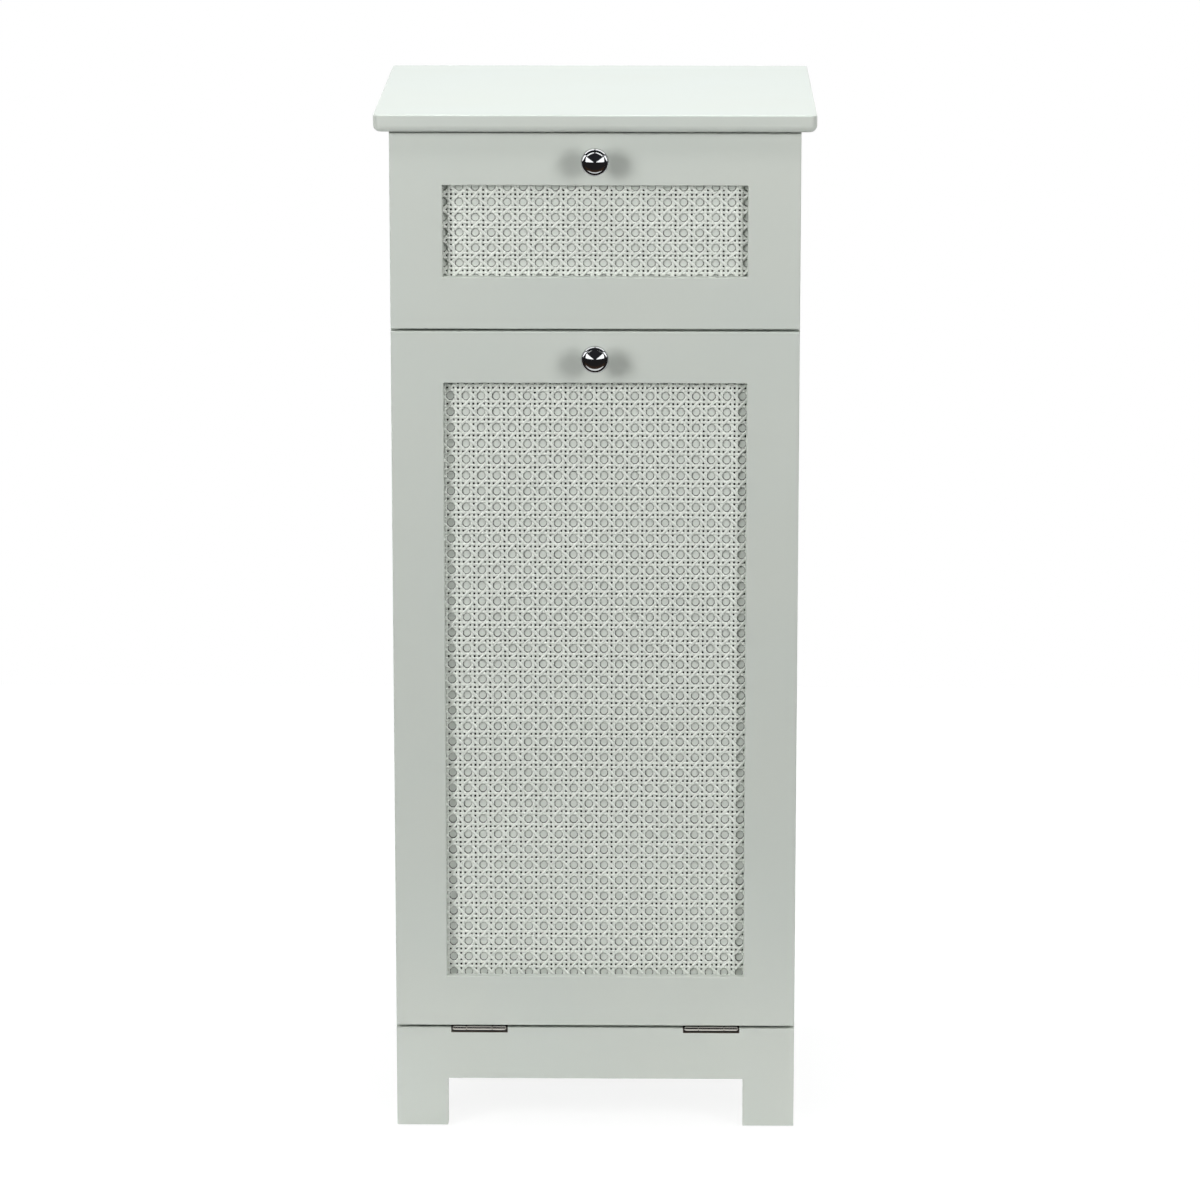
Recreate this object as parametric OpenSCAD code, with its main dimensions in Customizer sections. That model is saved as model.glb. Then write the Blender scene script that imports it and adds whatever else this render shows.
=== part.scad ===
// Laundry cabinet: a drawer above a tilt-out door that carries a laundry bag.
// x runs to the right, y to the back and z up. The origin is on the floor, under the middle
// of the cabinet with its knobs.

/* [Cabinet] */
// Height from the floor to the top surface
cabinet_h = 900; // [860:5:980]
// Width over the two side panels
body_w = 350; // [330:5:420]
// Depth from the face of the fronts to the back edge
body_d = 332; // [322:1:380]
// Thickness of the carcass boards
board_t = 15; // [14:0.5:18]
// Thickness of the hardboard back
back_t = 3; // [2.5:0.5:4]
// Depth of the rail behind the drawer, from the top down
back_rail_h = 60; // [50:5:90]
// Wood left under a blind hole
blind_floor = 3; // [2.5:0.5:3.5]

/* [Top] */
// Thickness of the top board
top_t = 15; // [13:0.5:20]
// How far the top stands past the sides and the front
top_overhang = 13; // [4:1:25]
// Radius under the nose of the top
nose_under_r = 6; // [2:0.5:7]
// Radius over the nose of the top
nose_over_r = 1.5; // [1:0.5:4]
// Radius of the front corners, seen from above
top_corner_r = 7; // [7:0.5:12]

/* [Plinth and feet] */
// Height of the plinth's top edge above the floor
plinth_h = 91; // [84:1:110]
// Width of each foot, in front and at the side
foot_w = 45; // [38:1:60]
// Height of the arches between the feet
arch_h = 44.5; // [30:0.5:52]
// Side of the glued blocks behind the plinth
block_w = 18; // [14:1:22]
// Diameter of the glides under the feet
glide_d = 12; // [9:0.5:13]
// Thickness of the glides
glide_t = 1.5; // [1:0.5:4]
// Length of the nails under the glides
glide_nail_l = 12; // [10:1:16]
// Diameter of the nails under the glides
glide_nail_d = 1.8; // [1.4:0.1:2.2]

/* [Fronts] */
// Thickness of the drawer front and the door
front_t = 15; // [13.5:0.5:18]
// Gap between the fronts and the carcass behind them
front_gap = 1; // [0.8:0.1:2]
// Width of the frames round the cane
frame_w = 45; // [40:1:60]
// Height of the drawer front
drawer_front_h = 168.5; // [165:0.5:185]
// Gap under the top and between the two fronts
reveal = 2; // [1.5:0.5:3]
// Gap between the plinth and the door
door_foot_gap = 2.5; // [2:0.1:3]
// Radius on the front edges of the frames
arris_r = 1.2; // [0.5:0.1:2]
// Width of the rebate behind the opening
rebate_w = 8; // [5:0.5:8]
// How far the cane lies behind the face
cane_recess = 7.5; // [5:0.5:7.5]
// Thickness of the woven cane
cane_t = 2.4; // [1.6:0.1:2.6]
// Thickness of the board behind the cane
backing_t = 3; // [2.5:0.5:3]
// Diameter of the bumper dots
bumper_d = 8; // [6:0.5:10]

/* [Knobs] */
// Diameter of the knob's head
knob_d = 24; // [20:0.5:30]
// How far a knob stands out from the front
knob_reach = 25; // [22:0.5:30]
// Diameter of the knob's foot
knob_foot_d = 14; // [12:0.5:18]
// Diameter of the knob's neck
knob_neck_d = 10; // [8.5:0.5:11.5]
// Knob centre below the top edge of the drawer front
drawer_knob_drop = 22.3; // [18:0.1:26]
// Knob centre below the top edge of the door
door_knob_drop = 21; // [18:0.1:26]

/* [Drawer box] */
// Thickness of the drawer box boards
box_t = 12; // [11:0.5:12.5]
// Height of the drawer box
box_h = 120; // [110:1:122]
// Drawer box above the divider
box_lift = 14; // [12:0.5:16]
// Free depth between the drawer box and the back panel
box_back_gap = 29; // [26:1:40]
// Thickness of the drawer bottom
bottom_t = 3; // [2.5:0.5:4]
// Drawer bottom above the lower edge of the box
bottom_lift = 10; // [9:0.5:14]
// Depth of the groove for the drawer bottom
groove_d = 6; // [4:0.5:7]

/* [Runners] */
// Free width on each side of the drawer box
runner_space = 12.5; // [12.5:0.5:14]
// Thickness of the runner steel
runner_t = 1.2; // [1:0.1:1.5]
// Diameter of the nylon rollers
roller_d = 14; // [12:0.5:15]
// Width of the nylon rollers
roller_w = 6.4; // [5:0.1:6.4]
// Diameter of the roller axles
axle_d = 4; // [3:0.5:5]
// Diameter of the axle heads
axle_head_d = 7; // [6:0.5:9]
// Thickness of the axle heads
axle_head_t = 0.7; // [0.5:0.1:0.7]
// Width of the runner's foot under the drawer side
runner_foot_w = 9; // [6:0.5:10]

/* [Hinges] */
// Width of a hinge
hinge_w = 48; // [44:1:60]
// Width of the middle knuckle
knuckle_w = 22.6; // [16:0.2:26]
// Hinge centre from the side of the cabinet
hinge_from_side = 73; // [60:1:90]
// Outer diameter of the knuckles
knuckle_d = 5.2; // [4.8:0.1:5.6]
// Diameter of the hinge pin
hinge_pin_d = 2.5; // [2:0.1:2.8]
// Thickness of the leaves
leaf_t = 1.2; // [1:0.1:1.3]
// Depth of the leaves, from the pin
leaf_d = 12; // [10.5:0.5:13]
// Hinge axis behind the plinth's face
hinge_inset = 0.5; // [0:0.1:1]

/* [Door stays] */
// Angle at which the stays stop the door
door_angle = 35; // [25:1:36]
// Radius of the slot in the stays
stay_r = 200; // [180:5:240]
// Width of the stay's band
stay_w = 18; // [15:0.5:24]
// Thickness of the stays
stay_t = 1.5; // [1.2:0.1:2]
// Gap between a stay and the side panel
stay_gap = 1.6; // [1:0.1:3]
// Diameter of the stay's shoulder pin
stay_pin_d = 4.8; // [4:0.1:6]
// Shoulder pin behind the front edge of the side panel
stay_pin_inset = 14; // [12:0.5:20]
// Height of the stay's foot on the door
stay_foot_h = 40; // [36:1:60]
// Width of the stay's foot on the door
stay_foot_w = 16; // [14:0.5:18]

/* [Laundry bag] */
// Hoop of the bag below the door's top edge
hoop_drop = 112.5; // [107:0.5:180]
// Width of the hoop between wire centres
hoop_w = 240; // [200:2:244]
// Depth of the hoop between wire centres
hoop_d = 262; // [200:1:264]
// Corner radius of the hoop
hoop_r = 26; // [18:1:40]
// Diameter of the wire
wire_d = 5; // [4:0.5:6]
// Diameter of the braces' wire
brace_d = 4; // [3:0.5:4.5]
// Height of the braces below the hoop, at the door
brace_drop = 146; // [100:1:200]
// Reach of the braces along the hoop
brace_reach = 130; // [90:1:150]
// Thickness of the frame's fixing tabs
tab_t = 2; // [1.5:0.1:3]
// Height of the frame's fixing tabs
tab_h = 30; // [26:1:40]
// Length of a tab along the hoop, inwards of the hoop's corner
tab_inner_l = 18; // [12:1:24]
// Length of a tab outwards of the rebate behind the opening
tab_outer_l = 15; // [13:1:20]
// Tab screws from the edges of a tab
tab_screw_inset = 7; // [6:0.5:9]
// Depth of the welds between wire and tabs
weld_depth = 0.3; // [0.2:0.1:0.5]
// Length of bare wire beside a tab
bare_wire = 4; // [2:0.5:8]
// Floor of the laundry bag above the bottom panel
bag_lift = 59; // [50:1:200]
// Thickness of the bag's cloth, hem and seam allowance
cloth_t = 1.2; // [1:0.1:2]

/* [Catches] */
// Width of a magnetic catch
catch_w = 40; // [34:1:46]
// Height of a magnetic catch
catch_h = 14; // [12:0.5:16]
// Depth of a magnetic catch
catch_d = 16; // [13:0.5:20]
// Thickness of a catch's ears
catch_ear_t = 3; // [2:0.5:4]
// Width of a catch's ears
catch_ear_w = 8; // [7:0.5:10]
// Catch centre from the middle of the cabinet
catch_x = 95; // [70:1:110]
// Thickness of the strike plates
strike_t = 1.2; // [0.8:0.1:1.2]

/* [Fasteners] */
// Diameter of the small wood screws
screw_d = 3; // [2.5:0.1:3.2]
// Head diameter of the small wood screws
screw_head_d = 5.6; // [5:0.1:6]
// Length of the small wood screws
screw_l = 12; // [8:0.5:12]
// Diameter of the knob and drawer front screws
machine_d = 4; // [3.5:0.1:4.5]
// Head diameter of the knob and drawer front screws
machine_head_d = 8; // [7:0.1:8.5]
// Diameter of the cam locks
cam_d = 15; // [12:0.5:16]
// Cam centre from the board's end
cam_setback = 24; // [22:0.5:32]
// Wood left under a cam's hole
cam_floor = 2; // [1.5:0.5:3]
// Neck diameter of the cam bolts
cam_bolt_d = 4.4; // [4:0.1:5]
// Thread diameter of the cam bolts
cam_thread_d = 5; // [4.5:0.1:6]
// Cams and dowels from the front and back edges
cam_inset = 45; // [40:1:60]
// Diameter of the dowels
dowel_d = 8; // [6:0.5:8.5]
// Length of the dowels
dowel_l = 30; // [25:1:32]
// Diameter of the back panel nails
nail_d = 1.6; // [1.4:0.1:2]
// Length of the back panel nails
nail_l = 18; // [14:1:25]
// Nail spacing on the back panel
nail_pitch = 98; // [80:2:140]
// End nails from the side panels
nail_margin = 30; // [20:1:45]
// Diameter of the two wall fixing holes
wall_hole_d = 5; // [4:0.5:6]
// Distance between the wall fixing holes
wall_hole_span = 200; // [150:5:220]

/* [Fits] */
// Radial clearance of screws, dowels and pins in their holes
fit = 0.05; // [0.02:0.01:0.1]
// Clearance of pieces that slide into rebates and grooves
seat_gap = 0.2; // [0.1:0.05:0.3]
// Clearance between pieces that move past each other
run_gap = 0.3; // [0.2:0.05:0.4]

/* [Hidden] */
$fn = 48;
eps = 0.01;
PAINT = [0.78, 0.80, 0.77];
STEEL = [0.72, 0.73, 0.75];
CHROME = [0.85, 0.86, 0.88];
NYLON = [0.93, 0.93, 0.91];
BEECH = [0.80, 0.68, 0.50];
HARDBOARD = [0.55, 0.42, 0.28];
CLOTH = [0.88, 0.86, 0.80];

// Where the main planes lie, in front-plane coordinates
front_y = -(body_d - knob_reach) / 2;
carcass_y = front_t + front_gap;
plinth_y = carcass_y - board_t;
bumper_t = front_gap - run_gap;
back_y = body_d - back_t;
wall_x = body_w / 2 - board_t;
side_mid_x = wall_x + board_t / 2;
top_z = cabinet_h - top_t;
drawer_top = top_z - reveal;
drawer_low = drawer_top - drawer_front_h;
door_top = drawer_low - reveal;
door_low = plinth_h + door_foot_gap;
bottom_z = plinth_h - board_t;
divider_z = (drawer_low + door_top - board_t) / 2;
divider_top = divider_z + board_t;
open_x = body_w / 2 - frame_w;
cane_back = cane_recess + cane_t;
backing_back = cane_back + backing_t;
drawer_knob_z = drawer_top - drawer_knob_drop;
door_knob_z = door_top - door_knob_drop;

// Cams and dowels along the depth of the boards
cam_ys = [carcass_y + cam_inset, back_y - cam_inset];
dowel_ys = [carcass_y + 1.7 * cam_inset, back_y - 1.7 * cam_inset];
dowel_in_side = board_t - blind_floor;
dowel_in_top = top_t - blind_floor;
dowel_in_plinth = dowel_l / 3;
cam_thread_l = min(board_t, top_t) - 1.5 * blind_floor;
plinth_dowel_zs = [plinth_h * 0.3, plinth_h * 0.75];
rail_z = top_z - back_rail_h;
rail_dowel_zs = [rail_z + back_rail_h * 0.28, rail_z + back_rail_h * 0.72];
cam_depth = board_t - cam_floor;

// Drawer box and runners
box_x = wall_x - runner_space;
box_z = divider_top + box_lift;
box_back_y = back_y - box_back_gap;
box_floor_z = box_z + bottom_lift;
box_in_x = box_x - box_t;
roller_mid_x = (box_x + wall_x) / 2 + 0.45;
rail_reach = runner_t + 8.6;
lower_flange_z = box_z + 4.8;
lower_flange_top = lower_flange_z + runner_t;
rear_roller_z = lower_flange_top + run_gap / 2 + roller_d / 2;
upper_flange_z = lower_flange_top + roller_d + 2 * run_gap;
running_flange_z = upper_flange_z + runner_t + 4.5 * run_gap;
front_roller_z = running_flange_z - run_gap / 2 - roller_d / 2;
front_roller_y = carcass_y + 11;
rear_roller_y = box_back_y - 15;
runner_front_y = carcass_y + 1;
upper_flange_y = front_roller_y + roller_d / 2 + 8;
runner_screw_ys = [upper_flange_y + 6, rear_roller_y - 45];
runner_screw_z = lower_flange_top + roller_d / 2;
drawer_runner_screw_l = runner_t + box_t - groove_d - 1;
drawer_screw_zs = [box_z + bottom_lift / 2, box_z + box_h - bottom_lift / 2];
drawer_screw_l = box_t + front_t - 5;
box_screw_l = 2.4 * box_t;
knob_bore_l = 9;
box_screw_zs = [box_z + 45, box_z + box_h - 22];

// Hinge axis, and the arc that the stays follow round it
hinge_y = plinth_y + hinge_inset;
knuckle_gap = run_gap + 0.1;
leaf_offset = knuckle_d / 2 + knuckle_gap;
hinge_z = door_low - leaf_offset;
hinge_x = body_w / 2 - hinge_from_side;
leaf_clear = knuckle_d / 2 + 0.5;
leaf_screw_y = hinge_y + (leaf_clear + leaf_d) / 2;
leaf_screw_xs = [-hinge_w / 3, 0, hinge_w / 3];
stay_x = wall_x - stay_gap;
stay_pin_y = carcass_y + stay_pin_inset;
stay_from = asin((stay_pin_y - hinge_y) / stay_r);
stay_pin_z = hinge_z + stay_r * cos(stay_from);
stay_tip_r = stay_pin_d / 2 - 0.4;
stay_tip_l = board_t - 1.5 * blind_floor;
slot_r = stay_pin_d / 2 + run_gap;
stay_top_angle = asin((front_t - hinge_y) / stay_r);
stay_foot_mid = hinge_z + stay_r * cos(stay_top_angle) - stay_foot_h / 8;
stay_screw_zs = [stay_foot_mid - stay_foot_h / 2 + 6, stay_foot_mid + stay_foot_h / 2 - 6];

// Bag frame on the door
hoop_z = door_top - hoop_drop;
hoop_y = front_t + tab_t + wire_d / 2 - weld_depth;
hoop_back = hoop_y + hoop_d;
tab_from_x = hoop_w / 2 - hoop_r - tab_inner_l;
tab_to_x = open_x + rebate_w + tab_outer_l;
tab_screw_x = tab_to_x - tab_screw_inset;
tab_screw_dz = tab_h / 2 - tab_screw_inset;
brace_z = hoop_z - brace_drop;
hem_bore_r = wire_d / 2 + 0.15;
hem_r = hem_bore_r + cloth_t;
bag_x = hoop_w / 2 - wire_d / 2 - 1;
bag_y = hoop_y + wire_d / 2 + 1;
bag_back = hoop_back - wire_d / 2 - 1;
bag_z = plinth_h + bag_lift;
bag_h = hoop_z - bag_z;
bag_r = hoop_r - wire_d / 2 - 1;

// Catches under the divider, strikes on the door
strike_w = catch_w - 4;
catch_y = front_t + strike_t + run_gap;
catch_z = divider_z - catch_h;

// Every piece is drawn with y = 0 at the face of the fronts, then moved to the origin
module piece(finish) {
  color(finish) translate([0, front_y, 0]) children();
}

// The right-hand shape as drawn, or its mirror image on the left
module on_side(side) {
  if (side < 0) mirror([1, 0, 0]) children();
  else children();
}

module on_both_sides() {
  for (side = [-1, 1]) on_side(side) children();
}

// A box from two opposite corners
module block(low, high) {
  translate(low) cube(high - low);
}

// A flat shape drawn in y and z, given a thickness along x
module plate_yz(x0, x1) {
  translate([x0, 0, 0]) rotate([90, 0, 90]) linear_extrude(x1 - x0) children();
}

// A flat shape drawn in x and z, given a thickness along y
module plate_xz(y0, y1) {
  translate([0, y1, 0]) rotate([90, 0, 0]) linear_extrude(y1 - y0) children();
}

module rod_x(x0, x1, y, z, r) {
  translate([x0, y, z]) rotate([0, 90, 0]) cylinder(h = x1 - x0, r = r);
}

module rod_y(x, y0, y1, z, r) {
  translate([x, y1, z]) rotate([90, 0, 0]) cylinder(h = y1 - y0, r = r);
}

module rod_z(x, y, z0, z1, r) {
  translate([x, y, z0]) cylinder(h = z1 - z0, r = r);
}

// A rectangle with four round corners
module round_rect(low, high, r) {
  translate(low + [r, 0]) square(high - low - [2 * r, 0]);
  translate(low + [0, r]) square(high - low - [0, 2 * r]);
  for (x = [low[0] + r, high[0] - r]) for (y = [low[1] + r, high[1] - r]) translate([x, y]) circle(r);
}

// A screw pointing along -z with its countersunk head flush at z = 0; slack makes its hole
module flat_screw(d, head_d, head_h, length, slack = 0) {
  translate([0, 0, -head_h]) cylinder(h = head_h, r1 = d / 2 + slack, r2 = head_d / 2 + slack);
  translate([0, 0, -length - slack]) cylinder(h = length + slack, r = d / 2 + slack);
}

// The same screw with a cross recess in its head
module wood_screw(length, head_h = leaf_t) {
  difference() {
    flat_screw(screw_d, screw_head_d, head_h, length);
    for (a = [0, 90]) rotate([0, 0, a])
      block([-screw_head_d / 4, -screw_d / 10, -screw_d / 4], [screw_head_d / 4, screw_d / 10, screw_d]);
  }
}

module wood_screw_hole(length, head_h = leaf_t) {
  flat_screw(screw_d, screw_head_d, head_h, length, fit);
}

// A pan-headed machine screw pointing along -z with its head standing on z = 0
module pan_screw(length) {
  head_h = 0.6 * machine_d;
  difference() {
    union() {
      translate([0, 0, -length]) cylinder(h = length, r = machine_d / 2);
      cylinder(h = head_h, r1 = machine_head_d / 2, r2 = 3 / 8 * machine_head_d);
    }
    for (a = [0, 90]) rotate([0, 0, a])
      block([-machine_d / 2, -machine_d / 10, machine_d / 3], [machine_d / 2, machine_d / 10, machine_d]);
  }
}

// Children at each cam joint: local +z points into the board that takes the bolt's thread,
// and the cam opens towards local -x
module at_cams() {
  on_both_sides() for (y = cam_ys) {
    for (z = [bottom_z, divider_z]) translate([wall_x, y, z + board_t / 2])
      rotate([0, 90, 0]) rotate([0, 0, 180]) children();
    translate([side_mid_x, y, top_z]) children();
  }
}

module cam_cavities() {
  at_cams() {
    rod_x(-board_t / 2 - eps, cam_depth - board_t / 2, 0, -cam_setback, cam_d / 2 + fit);
    rod_z(0, 0, -cam_setback, eps, cam_thread_d / 2 + 1.5);
    rod_z(0, 0, 0, cam_thread_l + fit, cam_thread_d / 2 + fit);
  }
}

module cam_locks() piece(STEEL) at_cams() difference() {
  rod_x(-board_t / 2, cam_depth - board_t / 2 - seat_gap, 0, -cam_setback, cam_d / 2);
  rod_z(0, 0, -cam_setback - 3, 0, cam_thread_d / 2 + 1.5);
  for (a = [0, 90]) translate([-board_t / 2 - 1, 0, -cam_setback]) rotate([a, 0, 0])
    block([0, -0.3 * cam_d, -0.7], [2.8, 0.3 * cam_d, 0.7]);
}

module cam_bolts() piece(STEEL) at_cams() {
  rod_z(0, 0, 0, cam_thread_l, cam_thread_d / 2);
  rod_z(0, 0, -1.5, 0, cam_thread_d / 2 + 1);
  rod_z(0, 0, 2 - cam_setback, -1.5, cam_bolt_d / 2);
  rod_z(0, 0, -1 - cam_setback, 3 - cam_setback, cam_thread_d / 2 + 1);
}

// Every dowel, or with slack every dowel hole
module dowel_set(slack = 0) {
  r = dowel_d / 2 + slack;
  x1 = wall_x + dowel_in_side + slack;
  x0 = x1 - dowel_l - 2 * slack;
  y0 = carcass_y - dowel_in_plinth - slack;
  z1 = top_z + dowel_in_top + slack;
  on_both_sides() {
    for (y = dowel_ys) {
      for (z = [bottom_z, divider_z]) rod_x(x0, x1, y, z + board_t / 2, r);
      rod_z(side_mid_x, y, z1 - dowel_l - 2 * slack, z1, r);
    }
    for (z = plinth_dowel_zs) rod_y(side_mid_x, y0, y0 + dowel_l + 2 * slack, z, r);
    for (z = rail_dowel_zs) rod_x(x0, x1, back_y - board_t / 2, z, r);
  }
}

module dowels() piece(BEECH) dowel_set();

// The nose of the top in section: x outwards to 0, z up from 0
module nose_section() {
  difference() {
    translate([-top_corner_r, 0]) square([top_corner_r, top_t]);
    translate([-nose_under_r, -eps]) square([nose_under_r + eps, nose_under_r + eps]);
    translate([-nose_over_r, top_t - nose_over_r]) square([nose_over_r + eps, nose_over_r + eps]);
  }
  translate([-nose_under_r, nose_under_r]) circle(nose_under_r);
  translate([-nose_over_r, top_t - nose_over_r]) circle(nose_over_r);
}

module top_slab() {
  side_x = body_w / 2 + top_overhang;
  core_x = side_x - top_corner_r;
  core_y = top_corner_r - top_overhang;
  translate([0, 0, top_z]) {
    block([-core_x, core_y, 0], [core_x, body_d, top_t]);
    translate([-core_x, core_y, 0]) rotate([90, 0, 90]) linear_extrude(2 * core_x)
      mirror([1, 0]) translate([top_corner_r, 0]) nose_section();
    on_both_sides() {
      translate([side_x, body_d, 0]) rotate([90, 0, 0]) linear_extrude(body_d - core_y) nose_section();
      translate([core_x, core_y, 0]) rotate([0, 0, -90]) rotate_extrude(angle = 90)
        intersection() {
          translate([top_corner_r, 0]) nose_section();
          square([top_corner_r, top_t]);
        }
    }
  }
}

module top_panel() piece(PAINT) difference() {
  top_slab();
  cam_cavities();
  dowel_set(fit);
}

// Side panel with its foot arch, its rebate for the back and an eased front edge
module side_board() {
  difference() {
    block([wall_x, carcass_y, glide_t], [body_w / 2, body_d, top_z]);
    block([wall_x - eps, plinth_y + foot_w, 0], [body_w / 2 + eps, body_d - foot_w, arch_h]);
    block([wall_x - eps, back_y, bottom_z], [wall_x + board_t / 2, body_d + eps, top_z + eps]);
    rod_x(wall_x - eps, wall_x + stay_tip_l + fit, stay_pin_y, stay_pin_z, stay_tip_r + fit);
    at_runner_screws() wood_screw_hole(screw_l, runner_t);
    glide_nails(fit);
  }
}

module side_panel_left() piece(PAINT) difference() {
  on_side(-1) side_board();
  cam_cavities();
  dowel_set(fit);
  nail_set(fit);
}

module side_panel_right() piece(PAINT) difference() {
  side_board();
  cam_cavities();
  dowel_set(fit);
  nail_set(fit);
}

// One board across the front, with the arch below and the hinge mortises above
module plinth_board() piece(PAINT) difference() {
  plate_xz(plinth_y, carcass_y) difference() {
    translate([-body_w / 2, glide_t]) square([body_w, plinth_h - glide_t]);
    translate([foot_w - body_w / 2, 0]) square([body_w - 2 * foot_w, arch_h]);
  }
  on_both_sides() block([hinge_x - hinge_w / 2 - seat_gap, plinth_y - eps, hinge_z - leaf_offset],
    [hinge_x + hinge_w / 2 + seat_gap, hinge_y + leaf_d + seat_gap, plinth_h + eps]);
  at_lower_leaf_screws() wood_screw_hole(screw_l);
  dowel_set(fit);
}

module bottom_panel() piece(PAINT) difference() {
  block([-wall_x, carcass_y, bottom_z], [wall_x, back_y, plinth_h]);
  cam_cavities();
  dowel_set(fit);
  nail_set(fit);
}

module divider_panel() piece(PAINT) difference() {
  block([-wall_x, carcass_y, divider_z], [wall_x, back_y, divider_top]);
  cam_cavities();
  dowel_set(fit);
  nail_set(fit);
  at_catch_screws() wood_screw_hole(screw_l);
}

module wall_holes() {
  z = rail_z + back_rail_h / 2;
  on_both_sides() rod_y(wall_hole_span / 2, back_y - board_t - eps, body_d + eps, z, wall_hole_d / 2);
}

module back_rail() piece(PAINT) difference() {
  block([-wall_x, back_y - board_t, rail_z], [wall_x, back_y, top_z]);
  dowel_set(fit);
  wall_holes();
}

module back_panel() piece(HARDBOARD) difference() {
  block([seat_gap - wall_x - board_t / 2, back_y, bottom_z],
    [wall_x + board_t / 2 - seat_gap, body_d, top_z]);
  wall_holes();
  nail_set(fit);
}

// Nails through the back, driven along -y with their heads flush
module nail_set(slack = 0) {
  low_z = plinth_h;
  high_z = rail_z + back_rail_h / 2;
  rows = floor((high_z - low_z) / nail_pitch);
  row_step = (high_z - low_z) / rows;
  span = 2 * (wall_x - nail_margin);
  across = floor(span / nail_pitch);
  across_step = span / across;
  on_both_sides() for (i = [0 : rows])
    translate([wall_x + board_t / 4, body_d, low_z + i * row_step]) rotate([-90, 0, 0])
      nail(slack);
  for (z = [bottom_z, divider_z]) for (i = [0 : across])
    translate([i * across_step - span / 2, body_d, z + board_t / 2]) rotate([-90, 0, 0]) nail(slack);
}

module nail(slack) {
  flat_screw(nail_d, 2.4 * nail_d, nail_d * 0.8, nail_l, slack);
}

module back_nails() piece(STEEL) nail_set();

module corner_blocks() piece(BEECH) on_both_sides()
  translate([wall_x, carcass_y, arch_h + 1]) linear_extrude(bottom_z - arch_h - 1)
    polygon([[0, 0], [-block_w, 0], [-block_w, block_w / 4], [-block_w / 4, block_w], [0, block_w]]);

// The glides' nails, or with slack their holes
module glide_nails(slack = 0) {
  for (y = [carcass_y + glide_d / 2 + 3, body_d - foot_w / 2])
    rod_z(side_mid_x, y, glide_t - eps, glide_t + glide_nail_l + slack, glide_nail_d / 2 + slack);
}

module foot_glides() piece(NYLON) on_both_sides() {
  glide_nails();
  for (y = [carcass_y + glide_d / 2 + 3, body_d - foot_w / 2])
    rod_z(side_mid_x, y, 0, glide_t, glide_d / 2);
}

// Fixed half of a runner: a channel with the front roller's axle
module runner_fixed() {
  inner_x = wall_x - rail_reach;
  difference() {
    union() {
      block([wall_x - runner_t, runner_front_y, lower_flange_z], [wall_x, box_back_y, running_flange_z]);
      block([inner_x, runner_front_y, lower_flange_z], [wall_x, box_back_y, lower_flange_top]);
      block([inner_x, upper_flange_y, upper_flange_z], [wall_x, box_back_y, upper_flange_z + runner_t]);
    }
    at_runner_screws() wood_screw_hole(screw_l, runner_t);
  }
  head_x = roller_mid_x - roller_w / 2 - run_gap;
  collar_x = roller_mid_x + roller_w / 2 + run_gap;
  web_x = wall_x - runner_t + eps;
  translate([0, front_roller_y, front_roller_z]) {
    rod_x(head_x - axle_head_t, web_x, 0, 0, axle_d / 2);
    rod_x(head_x - axle_head_t, head_x, 0, 0, axle_head_d / 2);
    rod_x(collar_x, web_x, 0, 0, axle_head_d / 2);
  }
}

module runner_fixed_left() piece(STEEL) on_side(-1) runner_fixed();

module runner_fixed_right() piece(STEEL) runner_fixed();

// Children at the screws of the fixed runners, pointing into the side panels
module at_runner_screws() {
  on_both_sides() for (y = runner_screw_ys)
    translate([wall_x - runner_t, y, runner_screw_z]) rotate([0, -90, 0]) children();
}

module runner_screws() piece(STEEL) at_runner_screws() wood_screw(screw_l, runner_t);

// Moving half of a runner: a flange that rides on the front roller, and the rear roller's axle
module drawer_runner() {
  y0 = front_t + 2;
  web_x = box_x + runner_t;
  flange_top = running_flange_z + runner_t;
  difference() {
    union() {
      block([box_x, y0, box_z - runner_t], [web_x, box_back_y, flange_top]);
      block([box_x, y0, running_flange_z], [box_x + rail_reach + 0.5, box_back_y, flange_top]);
      block([box_x - runner_foot_w, y0, box_z - runner_t], [web_x, box_back_y, box_z]);
    }
    at_drawer_runner_screws() wood_screw_hole(drawer_runner_screw_l, runner_t);
  }
  head_x = roller_mid_x + roller_w / 2 + run_gap;
  collar_x = roller_mid_x - roller_w / 2 - run_gap;
  translate([0, rear_roller_y, rear_roller_z]) {
    rod_x(web_x - eps, head_x + axle_head_t, 0, 0, axle_d / 2);
    rod_x(web_x - eps, collar_x, 0, 0, axle_head_d / 2);
    rod_x(head_x, head_x + axle_head_t, 0, 0, axle_head_d / 2);
  }
}

module drawer_runner_left() piece(STEEL) on_side(-1) drawer_runner();

module drawer_runner_right() piece(STEEL) drawer_runner();

// Children at the screws of the moving runners, pointing into the drawer box
module at_drawer_runner_screws() {
  on_both_sides() for (y = runner_screw_ys)
    translate([box_x + runner_t, y, runner_screw_z]) rotate([0, 90, 0]) children();
}

module drawer_runner_screws() piece(STEEL) at_drawer_runner_screws()
  wood_screw(drawer_runner_screw_l, runner_t);

// A nylon roller with a rounded tread and a bore that runs on its axle
module roller(y, z) {
  translate([roller_mid_x - roller_w / 2, y, z]) rotate([0, 90, 0]) difference() {
    union() {
      translate([0, 0, 0.8]) cylinder(h = roller_w - 1.6, r = roller_d / 2);
      cylinder(h = 0.8, r1 = roller_d / 2 - 0.8, r2 = roller_d / 2);
      translate([0, 0, roller_w - 0.8]) cylinder(h = 0.8, r1 = roller_d / 2, r2 = roller_d / 2 - 0.8);
    }
    translate([0, 0, -1]) cylinder(h = roller_w + 2, r = axle_d / 2 + fit);
  }
}

module front_roller_left() piece(NYLON) on_side(-1) roller(front_roller_y, front_roller_z);

module front_roller_right() piece(NYLON) roller(front_roller_y, front_roller_z);

module rear_roller_left() piece(NYLON) on_side(-1) roller(rear_roller_y, rear_roller_z);

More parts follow.
